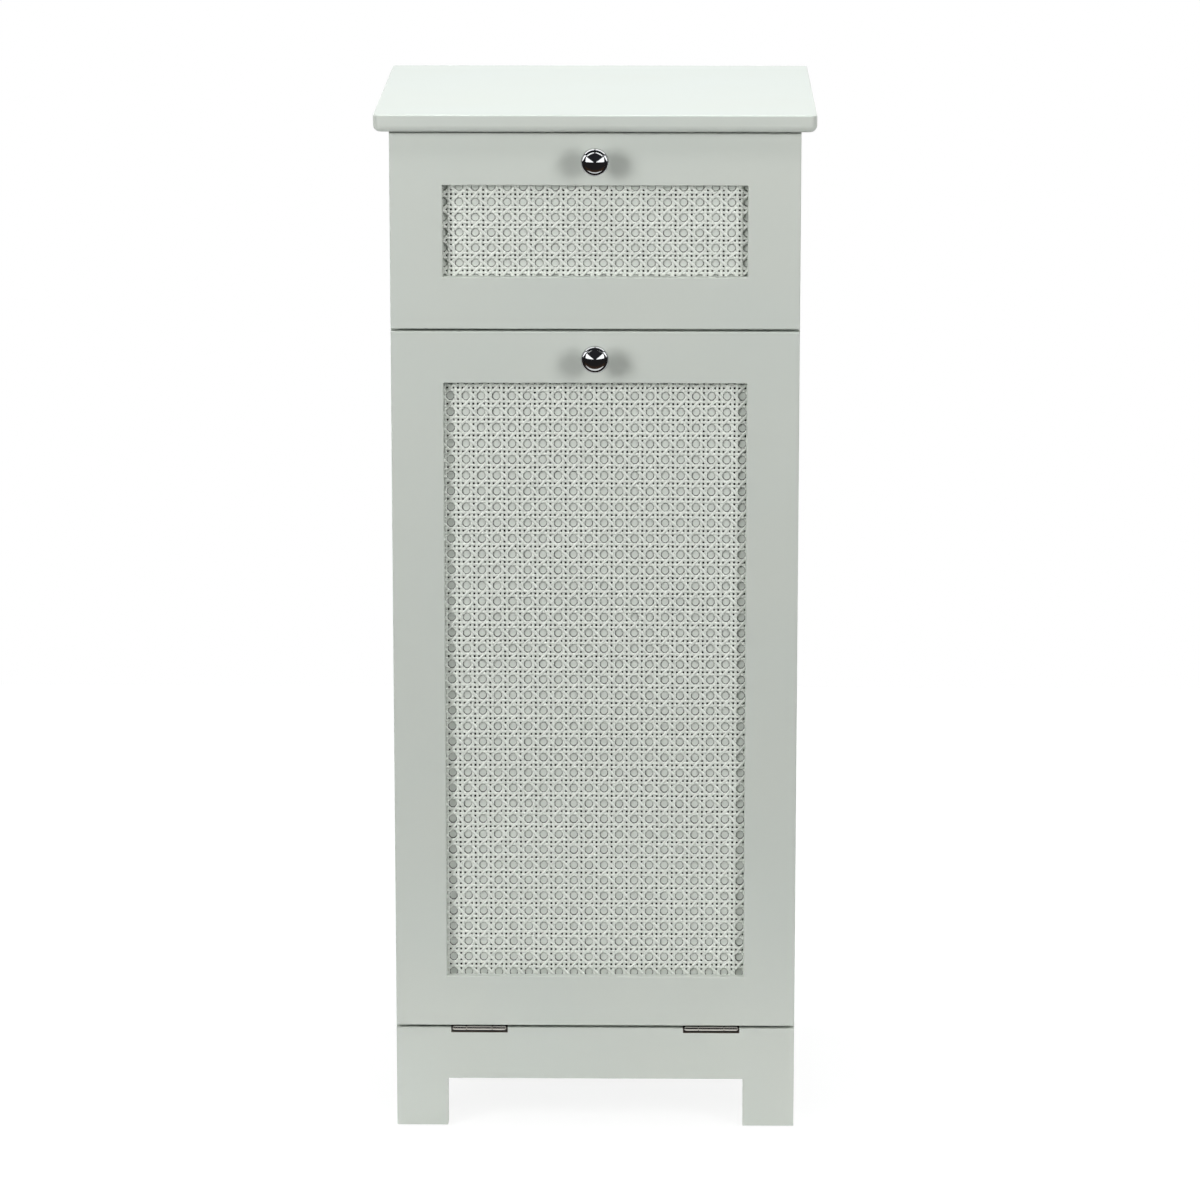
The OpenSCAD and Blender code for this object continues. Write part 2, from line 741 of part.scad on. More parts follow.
module rear_roller_right() piece(NYLON) roller(rear_roller_y, rear_roller_z);

// What a rounded edge loses, with the edge at the origin and the board towards +x and +y
module arris_section() {
  difference() {
    translate([-eps, -eps]) square(arris_r + eps);
    translate([arris_r, arris_r]) circle(arris_r);
  }
}

// Rounds a front edge along x; the board lies above it, or below it if down is true
module arris_along_x(x0, x1, z, down) {
  plate_yz(x0, x1) translate([0, z]) {
    if (down) mirror([0, 1]) arris_section();
    else arris_section();
  }
}

// Rounds a front edge along z; the board lies right of it, or left of it if left is true
module arris_along_z(x, z0, z1, left) {
  translate([x, 0, z0]) linear_extrude(z1 - z0) {
    if (left) mirror([1, 0]) arris_section();
    else arris_section();
  }
}

// A front: one board with a rebated opening, rounded front edges and its knob's hole
module front_board(z0, z1, knob_z) {
  in_z0 = z0 + frame_w;
  in_z1 = z1 - frame_w;
  half_w = body_w / 2;
  difference() {
    block([-half_w, 0, z0], [half_w, front_t, z1]);
    block([-open_x, -eps, in_z0], [open_x, front_t + eps, in_z1]);
    block([-open_x - rebate_w, cane_recess, in_z0 - rebate_w],
      [open_x + rebate_w, front_t + eps, in_z1 + rebate_w]);
    arris_along_x(-half_w - eps, half_w + eps, z0, false);
    arris_along_x(-half_w - eps, half_w + eps, z1, true);
    arris_along_x(-open_x, open_x, in_z1, false);
    arris_along_x(-open_x, open_x, in_z0, true);
    on_both_sides() {
      arris_along_z(half_w, z0 - eps, z1 + eps, true);
      arris_along_z(open_x, in_z0, in_z1, false);
    }
    rod_y(0, -eps, front_t + eps, knob_z, machine_d / 2 + fit);
  }
}

// A sheet in the rebate of a front
module rebate_sheet(y0, y1, z0, z1) {
  x = open_x + rebate_w - seat_gap;
  edge = frame_w - rebate_w + seat_gap;
  block([-x, y0, z0 + edge], [x, y1, z1 - edge]);
}

module drawer_front() piece(PAINT) difference() {
  front_board(drawer_low, drawer_top, drawer_knob_z);
  at_drawer_front_screws() rod_z(0, 0, -drawer_screw_l - fit, 0, machine_d / 2 + fit);
}

module drawer_cane() piece(PAINT) rebate_sheet(cane_recess, cane_back, drawer_low, drawer_top);

module drawer_cane_backing() piece(PAINT) rebate_sheet(cane_back, backing_back, drawer_low, drawer_top);

module door_frame() piece(PAINT) difference() {
  front_board(door_low, door_top, door_knob_z);
  at_upper_leaf_screws() wood_screw_hole(screw_l);
  at_strike_screws() wood_screw_hole(screw_l);
  at_stay_screws() wood_screw_hole(screw_l);
  at_tab_screws() wood_screw_hole(screw_l);
}

module door_cane() piece(PAINT) rebate_sheet(cane_recess, cane_back, door_low, door_top);

module door_cane_backing() piece(PAINT) rebate_sheet(cane_back, backing_back, door_low, door_top);

// Points along an arc, for the knob's section
function arc(cx, cy, r, a0, a1, n) = [for (i = [0 : n])
  let (a = a0 + (a1 - a0) * i / n) [cx + r * cos(a), cy + r * sin(a)]];

// A mushroom knob: foot, neck, flared head with a ring, and a low dome inside the ring
module knob(z) {
  head_r = knob_d / 2;
  neck_r = knob_neck_d / 2;
  foot_r = knob_foot_d / 2;
  dome_r = head_r * 0.77;
  dome_h = 3.2;
  bend_r = (dome_r * dome_r + dome_h * dome_h) / (2 * dome_h);
  half_a = asin(dome_r / bend_r);
  flare_h = knob_reach - 7 - neck_r * 0.9;
  translate([0, 0, z]) rotate([90, 0, 0]) difference() {
    rotate_extrude() polygon(concat(
      [[0, 0], [foot_r - 0.5, 0], [foot_r, 0.5], [foot_r, 1.6], [neck_r + 0.6, 2.4], [neck_r, 4]],
      [[neck_r, flare_h - 4], [neck_r + 0.7, flare_h - 1.6], [neck_r + 2.6, flare_h + 1]],
      arc(head_r - 1.6, knob_reach - 5.6, 1.6, -55, 90, 6),
      [[dome_r + 0.5, knob_reach - 3.4], [dome_r + 0.2, knob_reach - 3.8]],
      arc(0, knob_reach - bend_r, bend_r, 90 - half_a, 90, 8)
    ));
    translate([0, 0, -eps]) cylinder(h = knob_bore_l, r = machine_d / 2 + fit);
  }
}

module drawer_knob() piece(CHROME) knob(drawer_knob_z);

module door_knob() piece(CHROME) knob(door_knob_z);

module knob_screw(z) {
  translate([0, front_t, z]) rotate([-90, 0, 0]) pan_screw(front_t + knob_bore_l - 1);
}

module drawer_knob_screw() piece(STEEL) knob_screw(drawer_knob_z);

module door_knob_screw() piece(STEEL) knob_screw(door_knob_z);

// Children at the screws through the drawer box into the front, pointing along -z
module at_drawer_front_screws() {
  on_both_sides() for (z = drawer_screw_zs) translate([box_in_x - 35, front_t + box_t, z])
    rotate([-90, 0, 0]) children();
}

module drawer_front_screws() piece(STEEL) at_drawer_front_screws() pan_screw(drawer_screw_l);

// Children at the corner screws of the drawer box, pointing in from the outside
module at_box_screws() {
  on_both_sides() for (y = [front_t + box_t / 2, box_back_y - box_t / 2]) for (z = box_screw_zs)
    translate([box_x, y, z]) rotate([0, 90, 0]) children();
}

module drawer_box_screws() piece(STEEL) at_box_screws() wood_screw(box_screw_l);

module box_floor_cut() {
  gap = seat_gap / 2;
  x = box_in_x + groove_d;
  y0 = front_t + box_t - groove_d;
  block([-x, y0, box_floor_z - gap], [x, box_back_y + eps, box_floor_z + bottom_t + gap]);
}

module drawer_box_front() piece(BEECH) difference() {
  block([-box_in_x, front_t, box_z], [box_in_x, front_t + box_t, box_z + box_h]);
  box_floor_cut();
  at_box_screws() wood_screw_hole(box_screw_l);
  at_drawer_front_screws() rod_z(0, 0, -drawer_screw_l, eps, machine_d / 2 + fit);
}

module drawer_box_side() {
  difference() {
    block([box_in_x, front_t, box_z], [box_x, box_back_y, box_z + box_h]);
    box_floor_cut();
    at_box_screws() wood_screw_hole(box_screw_l);
    at_drawer_runner_screws() wood_screw_hole(drawer_runner_screw_l, runner_t);
  }
}

module drawer_box_side_left() piece(BEECH) on_side(-1) drawer_box_side();

module drawer_box_side_right() piece(BEECH) drawer_box_side();

module drawer_box_back() piece(BEECH) difference() {
  low_z = box_floor_z + bottom_t + seat_gap / 2;
  block([-box_in_x, box_back_y - box_t, low_z], [box_in_x, box_back_y, box_z + box_h]);
  at_box_screws() wood_screw_hole(box_screw_l);
}

module drawer_box_bottom() piece(HARDBOARD) {
  x = box_in_x + groove_d - seat_gap;
  y0 = front_t + box_t - groove_d + seat_gap;
  block([-x, y0, box_floor_z], [x, box_back_y - 1, box_floor_z + bottom_t]);
}

// Children at the hinge screws, pointing into the plinth
module at_lower_leaf_screws() {
  on_both_sides() for (x = leaf_screw_xs)
    translate([hinge_x + x, leaf_screw_y, hinge_z - leaf_offset + leaf_t]) children();
}

// Children at the hinge screws, pointing up into the door
module at_upper_leaf_screws() {
  on_both_sides() for (x = leaf_screw_xs)
    translate([hinge_x + x, leaf_screw_y, hinge_z + leaf_offset - leaf_t]) rotate([180, 0, 0]) children();
}

// A leaf with its plate below the axis; its knuckles span each pair of x values in spans
module hinge_leaf(spans, bore_gap) {
  translate([hinge_x, hinge_y, 0]) difference() {
    union() {
      block([-hinge_w / 2, leaf_clear, -leaf_offset], [hinge_w / 2, leaf_d, leaf_t - leaf_offset]);
      for (s = spans) {
        rod_x(s[0], s[1], 0, 0, knuckle_d / 2);
        block([s[0], 0, -leaf_offset], [s[1], leaf_clear + eps, leaf_t - leaf_offset]);
      }
    }
    rod_x(-hinge_w, hinge_w, 0, 0, hinge_pin_d / 2 + bore_gap);
  }
}

module hinge_lower_leaf() {
  gap_x = knuckle_w / 2 + run_gap;
  difference() {
    translate([0, 0, hinge_z]) hinge_leaf([[-hinge_w / 2, -gap_x], [gap_x, hinge_w / 2]], 0.01);
    at_lower_leaf_screws() wood_screw_hole(screw_l);
  }
}

module hinge_upper_leaf() {
  difference() {
    translate([0, 0, hinge_z]) mirror([0, 0, 1]) hinge_leaf([[-knuckle_w / 2, knuckle_w / 2]], fit);
    at_upper_leaf_screws() wood_screw_hole(screw_l);
  }
}

module hinge_lower_leaf_left() piece(STEEL) on_side(-1) hinge_lower_leaf();

module hinge_lower_leaf_right() piece(STEEL) hinge_lower_leaf();

module hinge_upper_leaf_left() piece(STEEL) on_side(-1) hinge_upper_leaf();

module hinge_upper_leaf_right() piece(STEEL) hinge_upper_leaf();

module hinge_pins() piece(STEEL) on_both_sides()
  rod_x(hinge_x - hinge_w / 2 + 0.5, hinge_x + hinge_w / 2 - 0.5, hinge_y, hinge_z, hinge_pin_d / 2);

module hinge_screws_lower() piece(STEEL) at_lower_leaf_screws() wood_screw(screw_l);

module hinge_screws_upper() piece(STEEL) at_upper_leaf_screws() wood_screw(screw_l);

// The magnet's case hangs by two ears from the divider; two slots show its pole plates
module magnet_catches() piece(NYLON) difference() {
  case_x = catch_w / 2 - catch_ear_w;
  on_both_sides() translate([catch_x, catch_y, divider_z]) {
    block([-catch_w / 2, 0, -catch_ear_t], [catch_w / 2, catch_d, 0]);
    difference() {
      block([-case_x, 0, -catch_h], [case_x, catch_d, 0]);
      for (z = [-catch_h * 0.66, -catch_h * 0.4])
        block([1.5 - case_x, -eps, z], [case_x - 1.5, 1.5, z + 1.6]);
    }
  }
  at_catch_screws() wood_screw_hole(screw_l);
}

// Children at the catch screws, pointing up into the divider
module at_catch_screws() {
  on_both_sides() for (x = [(catch_ear_w - catch_w) / 2, (catch_w - catch_ear_w) / 2])
    translate([catch_x + x, catch_y + catch_d / 2, divider_z - catch_ear_t]) rotate([180, 0, 0]) children();
}

module catch_screws() piece(STEEL) at_catch_screws() wood_screw(screw_l);

module strike_plates() piece(STEEL) difference() {
  on_both_sides() translate([catch_x, front_t, catch_z])
    block([-strike_w / 2, 0, 0], [strike_w / 2, strike_t, catch_h - 1]);
  at_strike_screws() wood_screw_hole(screw_l, strike_t);
}

// Children at the strike screws, pointing forward into the door
module at_strike_screws() {
  on_both_sides() translate([catch_x, front_t + strike_t, catch_z + catch_h / 2])
    rotate([-90, 0, 0]) children();
}

module strike_screws() piece(STEEL) at_strike_screws() wood_screw(screw_l, strike_t);

module bumper_dots() piece(NYLON) on_both_sides()
  for (z = [door_low + 30, door_top - 30, drawer_low + 25, drawer_top - 25])
    rod_y(side_mid_x, carcass_y - bumper_t, carcass_y, z, bumper_d / 2);

// A band round the hinge axis in y and z, with round ends, from one angle to another
module arc_band(from, to, r, w) {
  far = 2 * r;
  intersection() {
    difference() {
      circle(r + w / 2, $fn = 180);
      circle(r - w / 2, $fn = 180);
    }
    polygon([[0, 0], far * [sin(from), cos(from)], far * [sin(to), cos(to)]]);
  }
  for (a = [from, to]) translate(r * [sin(a), cos(a)]) circle(w / 2);
}

// A stay: a slotted quadrant with a foot bent flat against the door
module stay() {
  x0 = stay_x - stay_t;
  difference() {
    union() {
      plate_yz(x0, stay_x) difference() {
        translate([hinge_y, hinge_z]) arc_band(stay_top_angle, stay_from + door_angle, stay_r, stay_w);
        translate([hinge_y, hinge_z]) arc_band(stay_from, stay_from + door_angle, stay_r, 2 * slot_r);
        translate([-front_t, 0]) square([2 * front_t, 3 * stay_r]);
      }
      block([stay_x - stay_foot_w, front_t, stay_foot_mid - stay_foot_h / 2],
        [stay_x, front_t + stay_t, stay_foot_mid + stay_foot_h / 2]);
    }
    at_stay_screws() wood_screw_hole(screw_l);
  }
}

// Children at the stays' screws, pointing forward into the door
module at_stay_screws() {
  on_both_sides() for (z = stay_screw_zs)
    translate([stay_x - stay_foot_w / 2, front_t + stay_t, z]) rotate([-90, 0, 0]) children();
}

module stay_left() piece(STEEL) on_side(-1) stay();

module stay_right() piece(STEEL) stay();

module stay_screws() piece(STEEL) at_stay_screws() wood_screw(screw_l);

module stay_pins() piece(STEEL) on_both_sides() {
  head_x = stay_x - stay_t - run_gap;
  rod_x(head_x - 2, head_x, stay_pin_y, stay_pin_z, stay_pin_d / 2 + 2.6);
  rod_x(head_x, wall_x, stay_pin_y, stay_pin_z, stay_pin_d / 2);
  rod_x(wall_x, wall_x + stay_tip_l, stay_pin_y, stay_pin_z, stay_tip_r);
}

// The hoop's path with radius r; bars and corners chosen for the wire, its bore or the hem
module hoop_corner(y, turn, r) {
  translate([hoop_w / 2 - hoop_r, y, hoop_z]) rotate([0, 0, turn]) rotate_extrude(angle = 90)
    translate([hoop_r, 0]) circle(r);
}

module hoop(r) {
  end_x = hoop_w / 2 - hoop_r;
  for (y = [hoop_y, hoop_back]) rod_x(-end_x, end_x, y, hoop_z, r);
  on_both_sides() {
    rod_y(hoop_w / 2, hoop_y + hoop_r, hoop_back - hoop_r, hoop_z, r);
    hoop_corner(hoop_y + hoop_r, -90, r);
    hoop_corner(hoop_back - hoop_r, 0, r);
  }
}

// Wire hoop, two braces and four fixing tabs
module bag_frame() piece(STEEL) difference() {
  union() {
    hoop(wire_d / 2);
    on_both_sides() {
      foot_y = front_t + tab_t;
      lean = hoop_y + brace_reach - foot_y;
      translate([hoop_w / 2, foot_y, brace_z]) rotate([-atan2(lean, brace_drop), 0, 0])
        cylinder(h = norm([lean, brace_drop]), r = brace_d / 2);
      block([tab_from_x, front_t, hoop_z - tab_h / 2], [tab_to_x, foot_y, hoop_z + tab_h / 2]);
      block([hoop_w / 2 - wire_d, front_t, brace_z - tab_h / 2], [tab_to_x, foot_y, brace_z + tab_h / 2]);
    }
  }
  at_tab_screws() wood_screw_hole(screw_l);
}

// Children at the bag frame's screws, pointing forward into the door
module at_tab_screws() {
  on_both_sides() for (z = [hoop_z, brace_z]) for (dz = [-tab_screw_dz, tab_screw_dz])
    translate([tab_screw_x, front_t + tab_t, z + dz]) rotate([-90, 0, 0]) children();
}

module bag_frame_screws() piece(STEEL) at_tab_screws() wood_screw(screw_l);

// The bag's wall and floor, with a hem round the wire that stops at the tabs and braces
module laundry_bag() piece(CLOTH) difference() {
  union() {
    translate([0, 0, bag_z]) linear_extrude(bag_h) round_rect([-bag_x, bag_y], [bag_x, bag_back], bag_r);
    rod_x(bare_wire - tab_from_x, tab_from_x - bare_wire, hoop_y, hoop_z, hem_r);
    rod_x(hoop_r - hoop_w / 2, hoop_w / 2 - hoop_r, hoop_back, hoop_z, hem_r);
    on_both_sides() {
      brace_y = hoop_y + brace_reach;
      rod_y(hoop_w / 2, hoop_y + hoop_r + bare_wire, brace_y - 3 * wire_d, hoop_z, hem_r);
      rod_y(hoop_w / 2, brace_y + 2 * wire_d, hoop_back - hoop_r, hoop_z, hem_r);
      hoop_corner(hoop_back - hoop_r, 0, hem_r);
    }
  }
  translate([0, 0, bag_z + cloth_t]) linear_extrude(bag_h + 2 * hem_r)
    round_rect([cloth_t - bag_x, bag_y + cloth_t], [bag_x - cloth_t, bag_back - cloth_t], bag_r - cloth_t);
  hoop(hem_bore_r);
}

top_panel();
side_panel_left();
side_panel_right();
plinth_board();
bottom_panel();
divider_panel();
back_panel();
back_rail();
corner_blocks();
foot_glides();
cam_locks();
cam_bolts();
dowels();
back_nails();
runner_fixed_left();
runner_fixed_right();
runner_screws();
hinge_lower_leaf_left();
hinge_lower_leaf_right();
hinge_pins();
hinge_screws_lower();
magnet_catches();
catch_screws();
stay_pins();
bumper_dots();
drawer_front();
drawer_cane();
drawer_cane_backing();
drawer_box_front();
drawer_box_side_left();
drawer_box_side_right();
drawer_box_back();
drawer_box_bottom();
drawer_box_screws();
drawer_runner_left();
drawer_runner_right();
drawer_runner_screws();
drawer_knob();
drawer_knob_screw();
drawer_front_screws();
front_roller_left();
front_roller_right();
rear_roller_left();
rear_roller_right();
door_frame();
door_cane();
door_cane_backing();
door_knob();
door_knob_screw();
hinge_upper_leaf_left();
hinge_upper_leaf_right();
hinge_screws_upper();
strike_plates();
strike_screws();
stay_left();
stay_right();
stay_screws();
bag_frame();
bag_frame_screws();
laundry_bag();
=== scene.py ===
import math
import bmesh
import bpy
from mathutils import Euler, Matrix, Vector, noise


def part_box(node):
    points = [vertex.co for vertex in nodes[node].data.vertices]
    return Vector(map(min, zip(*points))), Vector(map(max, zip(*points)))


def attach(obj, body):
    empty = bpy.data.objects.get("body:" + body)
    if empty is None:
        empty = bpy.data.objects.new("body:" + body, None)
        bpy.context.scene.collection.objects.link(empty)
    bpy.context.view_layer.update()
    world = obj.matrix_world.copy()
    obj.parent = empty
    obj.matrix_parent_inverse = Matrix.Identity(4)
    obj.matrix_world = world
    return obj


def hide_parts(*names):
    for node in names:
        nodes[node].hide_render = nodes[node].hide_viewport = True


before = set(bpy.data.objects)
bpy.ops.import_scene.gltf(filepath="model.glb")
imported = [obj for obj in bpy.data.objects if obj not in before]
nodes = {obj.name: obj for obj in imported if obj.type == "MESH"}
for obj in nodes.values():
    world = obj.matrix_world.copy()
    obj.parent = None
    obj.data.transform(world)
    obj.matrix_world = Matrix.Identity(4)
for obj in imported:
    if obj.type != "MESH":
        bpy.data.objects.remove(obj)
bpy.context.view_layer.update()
scene = bpy.context.scene


# The viewpoint: a long lens, a little above the cabinet and a touch to its right, so that
# the top board shows as a thin strip and the fronts stay nearly square.
camera_data = bpy.data.cameras.new("viewpoint")
camera_data.lens = 159.28
camera_data.sensor_width = 36
camera = bpy.data.objects.new("viewpoint", camera_data)
camera.location = (0.0590, -4.6298, 1.4850)
camera.rotation_euler = (math.radians(90 - 12.684), 0, math.radians(0.702))
scene.collection.objects.link(camera)
scene.camera = camera


# The studio: a white floor and a white surround, with soft lamps in front to the left, to the
# right and high up, one overhead, and two weak ones behind. Polished metal also sees a dark
# room past them, with long white panels that glow beside and above the way to the camera and
# that only gloss sees: painted reflections, which give chrome its black parts and white wedges.
SURROUND = 0.03
FLOOR_GLOW = 0.8
FLOOR_WHITE = 1.09
FLOOR_FRONT, FLOOR_BACK, FLOOR_SIDE = -0.5, 1.5, 1.5
ROOM_RADIUS = 6.5
ROOM_HEIGHT = 18
ROOM_SWEEP = math.radians(230)
DARK_WALL = "2E2E31"
DARK_GROUND = "2A2828"
BROWN_GROUND = "4A3626"
GROUND_FROM = -0.44
BROWN_TO = -0.9
GLOSS_PANEL_GLOW = 1.9
# the corners of the glowing panels on the right; the left ones are their mirror images
SIDE_GLOW_PANEL = ((1.9, -1.1, 0.80), (1.9, -1.1, 1.93), (1.1, -6.2, 1.02), (1.1, -6.2, 0.70))
TOP_GLOW_PANEL = ((0.16, -1.15, 2.6), (2.4, -1.70, 2.6), (2.4, 0.6, 2.6), (0.16, 0.6, 2.6))
SKYLIGHT = (0.97, 1, 1.03)
scene.view_settings.view_transform = "Standard"


def mm(size):
    """Millimetres in metres."""
    return size / 1000


def srgb(code):
    """An sRGB hex colour as linear RGBA."""
    parts = [int(code[i:i + 2], 16) / 255 for i in (0, 2, 4)]
    return (*[p / 12.92 if p <= 0.04045 else ((p + 0.055) / 1.055) ** 2.4 for p in parts], 1)


def add(owner, kind, sockets=None, **settings):
    """Adds a node with its settings; each socket gets a value, or a link from an output."""
    made = owner.node_tree.nodes.new("ShaderNode" + kind)
    for name, value in settings.items():
        setattr(made, name, value)
    for name, value in (sockets or {}).items():
        if isinstance(value, bpy.types.NodeSocket):
            owner.node_tree.links.new(value, made.inputs[name])
        else:
            made.inputs[name].default_value = value
    return made


def empty_material(name):
    material = bpy.data.materials.new(name)
    material.use_nodes = True
    material.node_tree.nodes.clear()
    return material


def seen_white(owner, share):
    """This share on rays that see the studio, straight or by gloss or glass, and 0 on the rest."""
    rays = add(owner, "LightPath")
    seen = add(owner, "Math", {
        0: rays.outputs["Is Camera Ray"], 1: rays.outputs["Is Glossy Ray"]}, operation="ADD")
    seen = add(owner, "Math", {
        0: seen.outputs["Value"], 1: rays.outputs["Is Transmission Ray"]},
        operation="ADD", use_clamp=True)
    return add(owner, "Math", {0: seen.outputs["Value"], 1: share},
               operation="MULTIPLY").outputs["Value"]


def stage_piece(name, mesh_bm, material):
    mesh = bpy.data.meshes.new(name)
    mesh_bm.to_mesh(mesh)
    mesh_bm.free()
    mesh.materials.append(material)
    made = bpy.data.objects.new(name, mesh)
    scene.collection.objects.link(made)
    return made


def soft_lamp(name, place, aim, width, height, watts):
    """A rectangular soft lamp that lights without being seen, straight or in a gloss."""
    data = bpy.data.lights.new(name, "AREA")
    data.shape = "RECTANGLE"
    data.size = width
    data.size_y = height
    data.energy = watts
    lamp = bpy.data.objects.new(name, data)
    lamp.location = place
    lamp.rotation_euler = (Vector(aim) - Vector(place)).to_track_quat("-Z", "Y").to_euler()
    lamp.visible_camera = False
    lamp.visible_glossy = False
    scene.collection.objects.link(lamp)
    return lamp


world = bpy.data.worlds.new("white_surround")
world.use_nodes = True
world.node_tree.nodes.clear()
ambient = add(world, "Background", {"Color": (1, 1, 1, 1), "Strength": SURROUND})
white = add(world, "Background", {"Color": (1, 1, 1, 1), "Strength": 1})
both = add(world, "MixShader", {
    0: seen_white(world, 1.0), 1: ambient.outputs["Background"], 2: white.outputs["Background"]})
add(world, "OutputWorld", {"Surface": both.outputs["Shader"]})
scene.world = world

floor_paint = empty_material("matt_white_floor")
floor_matt = add(floor_paint, "BsdfDiffuse", {"Color": srgb("F6F6F5")})
floor_glow = add(floor_paint, "Emission", {"Color": (1, 1, 1, 1), "Strength": FLOOR_WHITE})
floor_both = add(floor_paint, "MixShader", {
    0: seen_white(floor_paint, FLOOR_GLOW), 1: floor_matt.outputs["BSDF"],
    2: floor_glow.outputs["Emission"]})
add(floor_paint, "OutputMaterial", {"Surface": floor_both.outputs["Shader"]})
floor_bm = bmesh.new()
bmesh.ops.create_grid(
    floor_bm, x_segments=1, y_segments=1, size=1,
    matrix=Matrix.Translation((0, (FLOOR_FRONT + FLOOR_BACK) / 2, 0))
    @ Matrix.Diagonal((FLOOR_SIDE, (FLOOR_BACK - FLOOR_FRONT) / 2, 1, 1)))
stage_piece("floor", floor_bm, floor_paint)


def seen_by_gloss(name, mesh_bm, material):
    """A part of the studio that only polished surfaces see."""
    made = stage_piece(name, mesh_bm, material)
    made.visible_camera = False
    made.visible_diffuse = False
    made.visible_transmission = False
    made.visible_shadow = False


def glowing(material, colour, strength=1.0):
    """Closes a material with a plain glow."""
    glow = add(material, "Emission", {"Color": colour, "Strength": strength})
    add(material, "OutputMaterial", {"Surface": glow.outputs["Emission"]})
    return material


walls_bm = bmesh.new()
wall_from = Vector((-ROOM_RADIUS, 0, 0))
wall_from.rotate(Euler((0, 0, (math.pi - ROOM_SWEEP) / 2)))
wall_ends = [walls_bm.verts.new((*wall_from.xy, z)) for z in (0, ROOM_HEIGHT)]
bmesh.ops.spin(
    walls_bm, geom=[*wall_ends, walls_bm.edges.new(wall_ends)],
    cent=(0, 0, 0), axis=(0, 0, 1), angle=ROOM_SWEEP, steps=40)
seen_by_gloss("dark_walls", walls_bm, glowing(empty_material("dark_walls"), srgb(DARK_WALL)))

# a dark sheet that glows, brown near the cabinet and darker further out, and that only gloss sees:
# a painted reflection in polished metal
dark_ground = empty_material("dark_ground")
ground_y = add(dark_ground, "SeparateXYZ", {
    "Vector": add(dark_ground, "TexCoord").outputs["Object"]}).outputs["Y"]
browned = add(dark_ground, "MapRange", {
    "Value": ground_y, "From Min": BROWN_TO, "From Max": GROUND_FROM})
ground_tone = add(dark_ground, "MixRGB", {
    "Fac": browned.outputs["Result"], "Color1": srgb(DARK_GROUND), "Color2": srgb(BROWN_GROUND)})
# the dark ground lies just over the floor, so gloss sees it in the floor's place
ground_bm = bmesh.new()
bmesh.ops.create_circle(ground_bm, cap_ends=True, segments=64, radius=ROOM_RADIUS,
                        matrix=Matrix.Translation((0, 0, mm(1))))
bmesh.ops.bisect_plane(
    ground_bm, geom=ground_bm.verts[:] + ground_bm.edges[:] + ground_bm.faces[:],
    plane_co=(0, GROUND_FROM, 0), plane_no=(0, 1, 0), clear_outer=True)
seen_by_gloss("dark_ground", ground_bm, glowing(dark_ground, ground_tone.outputs["Color"]))

# white panels that glow and that only gloss sees, standing in for the lamps, which gloss does not
# see: painted reflections
panel_glow = glowing(empty_material("white_glow_seen_only_in_gloss"), (1, 1, 1, 1), GLOSS_PANEL_GLOW)
glow_panels_bm = bmesh.new()
for corners in (SIDE_GLOW_PANEL, TOP_GLOW_PANEL):
    for side in (-1, 1):
        bmesh.ops.contextual_create(
            glow_panels_bm, geom=[glow_panels_bm.verts.new((side * x, y, z)) for x, y, z in corners])
seen_by_gloss("glow_panels_seen_only_in_gloss", glow_panels_bm, panel_glow)

soft_lamp("lamp_left", place=(-1.27, -1.42, 1.2), aim=(0, 0, 0.6), width=0.6, height=0.8,
          watts=20.8)
soft_lamp("lamp_right", place=(1.27, -1.42, 1.2), aim=(0, 0, 0.6), width=0.6, height=0.8,
          watts=17.4)
soft_lamp("lamp_front_high", place=(0, -1.15, 2.9), aim=(0, 0, 0.5), width=1.6, height=0.5,
          watts=10)
lamp_above = soft_lamp(
    "lamp_above", place=(0, 0.15, 2.6), aim=(0, 0, 0.9), width=1.0, height=1.0, watts=28)
lamp_above.data.color = SKYLIGHT
for name, side in (("lamp_behind_left", -1), ("lamp_behind_right", 1)):
    soft_lamp(name, place=(side * 1.6, 1.7, 1.3), aim=(0, 0, 0.5), width=1.0, height=1.2,
              watts=15)


# Boards of the carcass and the two fronts: fibreboard, sprayed with a pale grey-green satin
# lacquer after cutting. The spray dries with a faint orange peel, drawn here a little coarse
# so that it shows, and its gloss drifts slowly over a board.
LACQUER = "CBD2CC"
LACQUER_WARM = "CFD3CB"
SPRAY_CLOUD = 150
ORANGE_PEEL = 1.6
PEEL_DEPTH = 0.02


def per_mm(size):
    """The scale of a pattern whose marks are this many millimetres across."""
    return 1000 / size


def surface(material, sockets):
    """Closes a material with a Principled shader."""
    shader = add(material, "BsdfPrincipled", sockets)
    add(material, "OutputMaterial", {"Surface": shader.outputs["BSDF"]})


def dress(material, *names):
    """Gives a finish to nodes that keep their own shape."""
    for name in names:
        for held in nodes[name].material_slots:
            held.material = material


def sprayed_lacquer(material):
    """The lacquer's colour, gloss and skin, for a Principled shader."""
    place = add(material, "TexCoord").outputs["Object"]
    cloud = add(material, "TexNoise", {
        "Vector": place, "Scale": per_mm(SPRAY_CLOUD), "Detail": 2}).outputs["Fac"]
    tone = add(material, "MixRGB", {
        "Fac": cloud, "Color1": srgb(LACQUER), "Color2": srgb(LACQUER_WARM)})
    peel = add(material, "TexNoise", {
        "Vector": place, "Scale": per_mm(ORANGE_PEEL), "Detail": 2})
    skin = add(material, "Bump", {
        "Height": peel.outputs["Fac"], "Strength": 0.6, "Distance": mm(PEEL_DEPTH)})
    gloss = add(material, "MapRange", {
        "Value": cloud, "From Min": 0.3, "From Max": 0.7, "To Min": 0.40, "To Max": 0.47})
    return {"Base Color": tone.outputs["Color"], "Roughness": gloss.outputs["Result"],
            "Normal": skin.outputs["Normal"]}


board_lacquer = empty_material("satin_lacquer_on_fibreboard")
surface(board_lacquer, sprayed_lacquer(board_lacquer))
dress(board_lacquer, "top_panel", "side_panel_left", "side_panel_right", "bottom_panel",
      "divider_panel", "back_rail", "drawer_front", "door_frame")
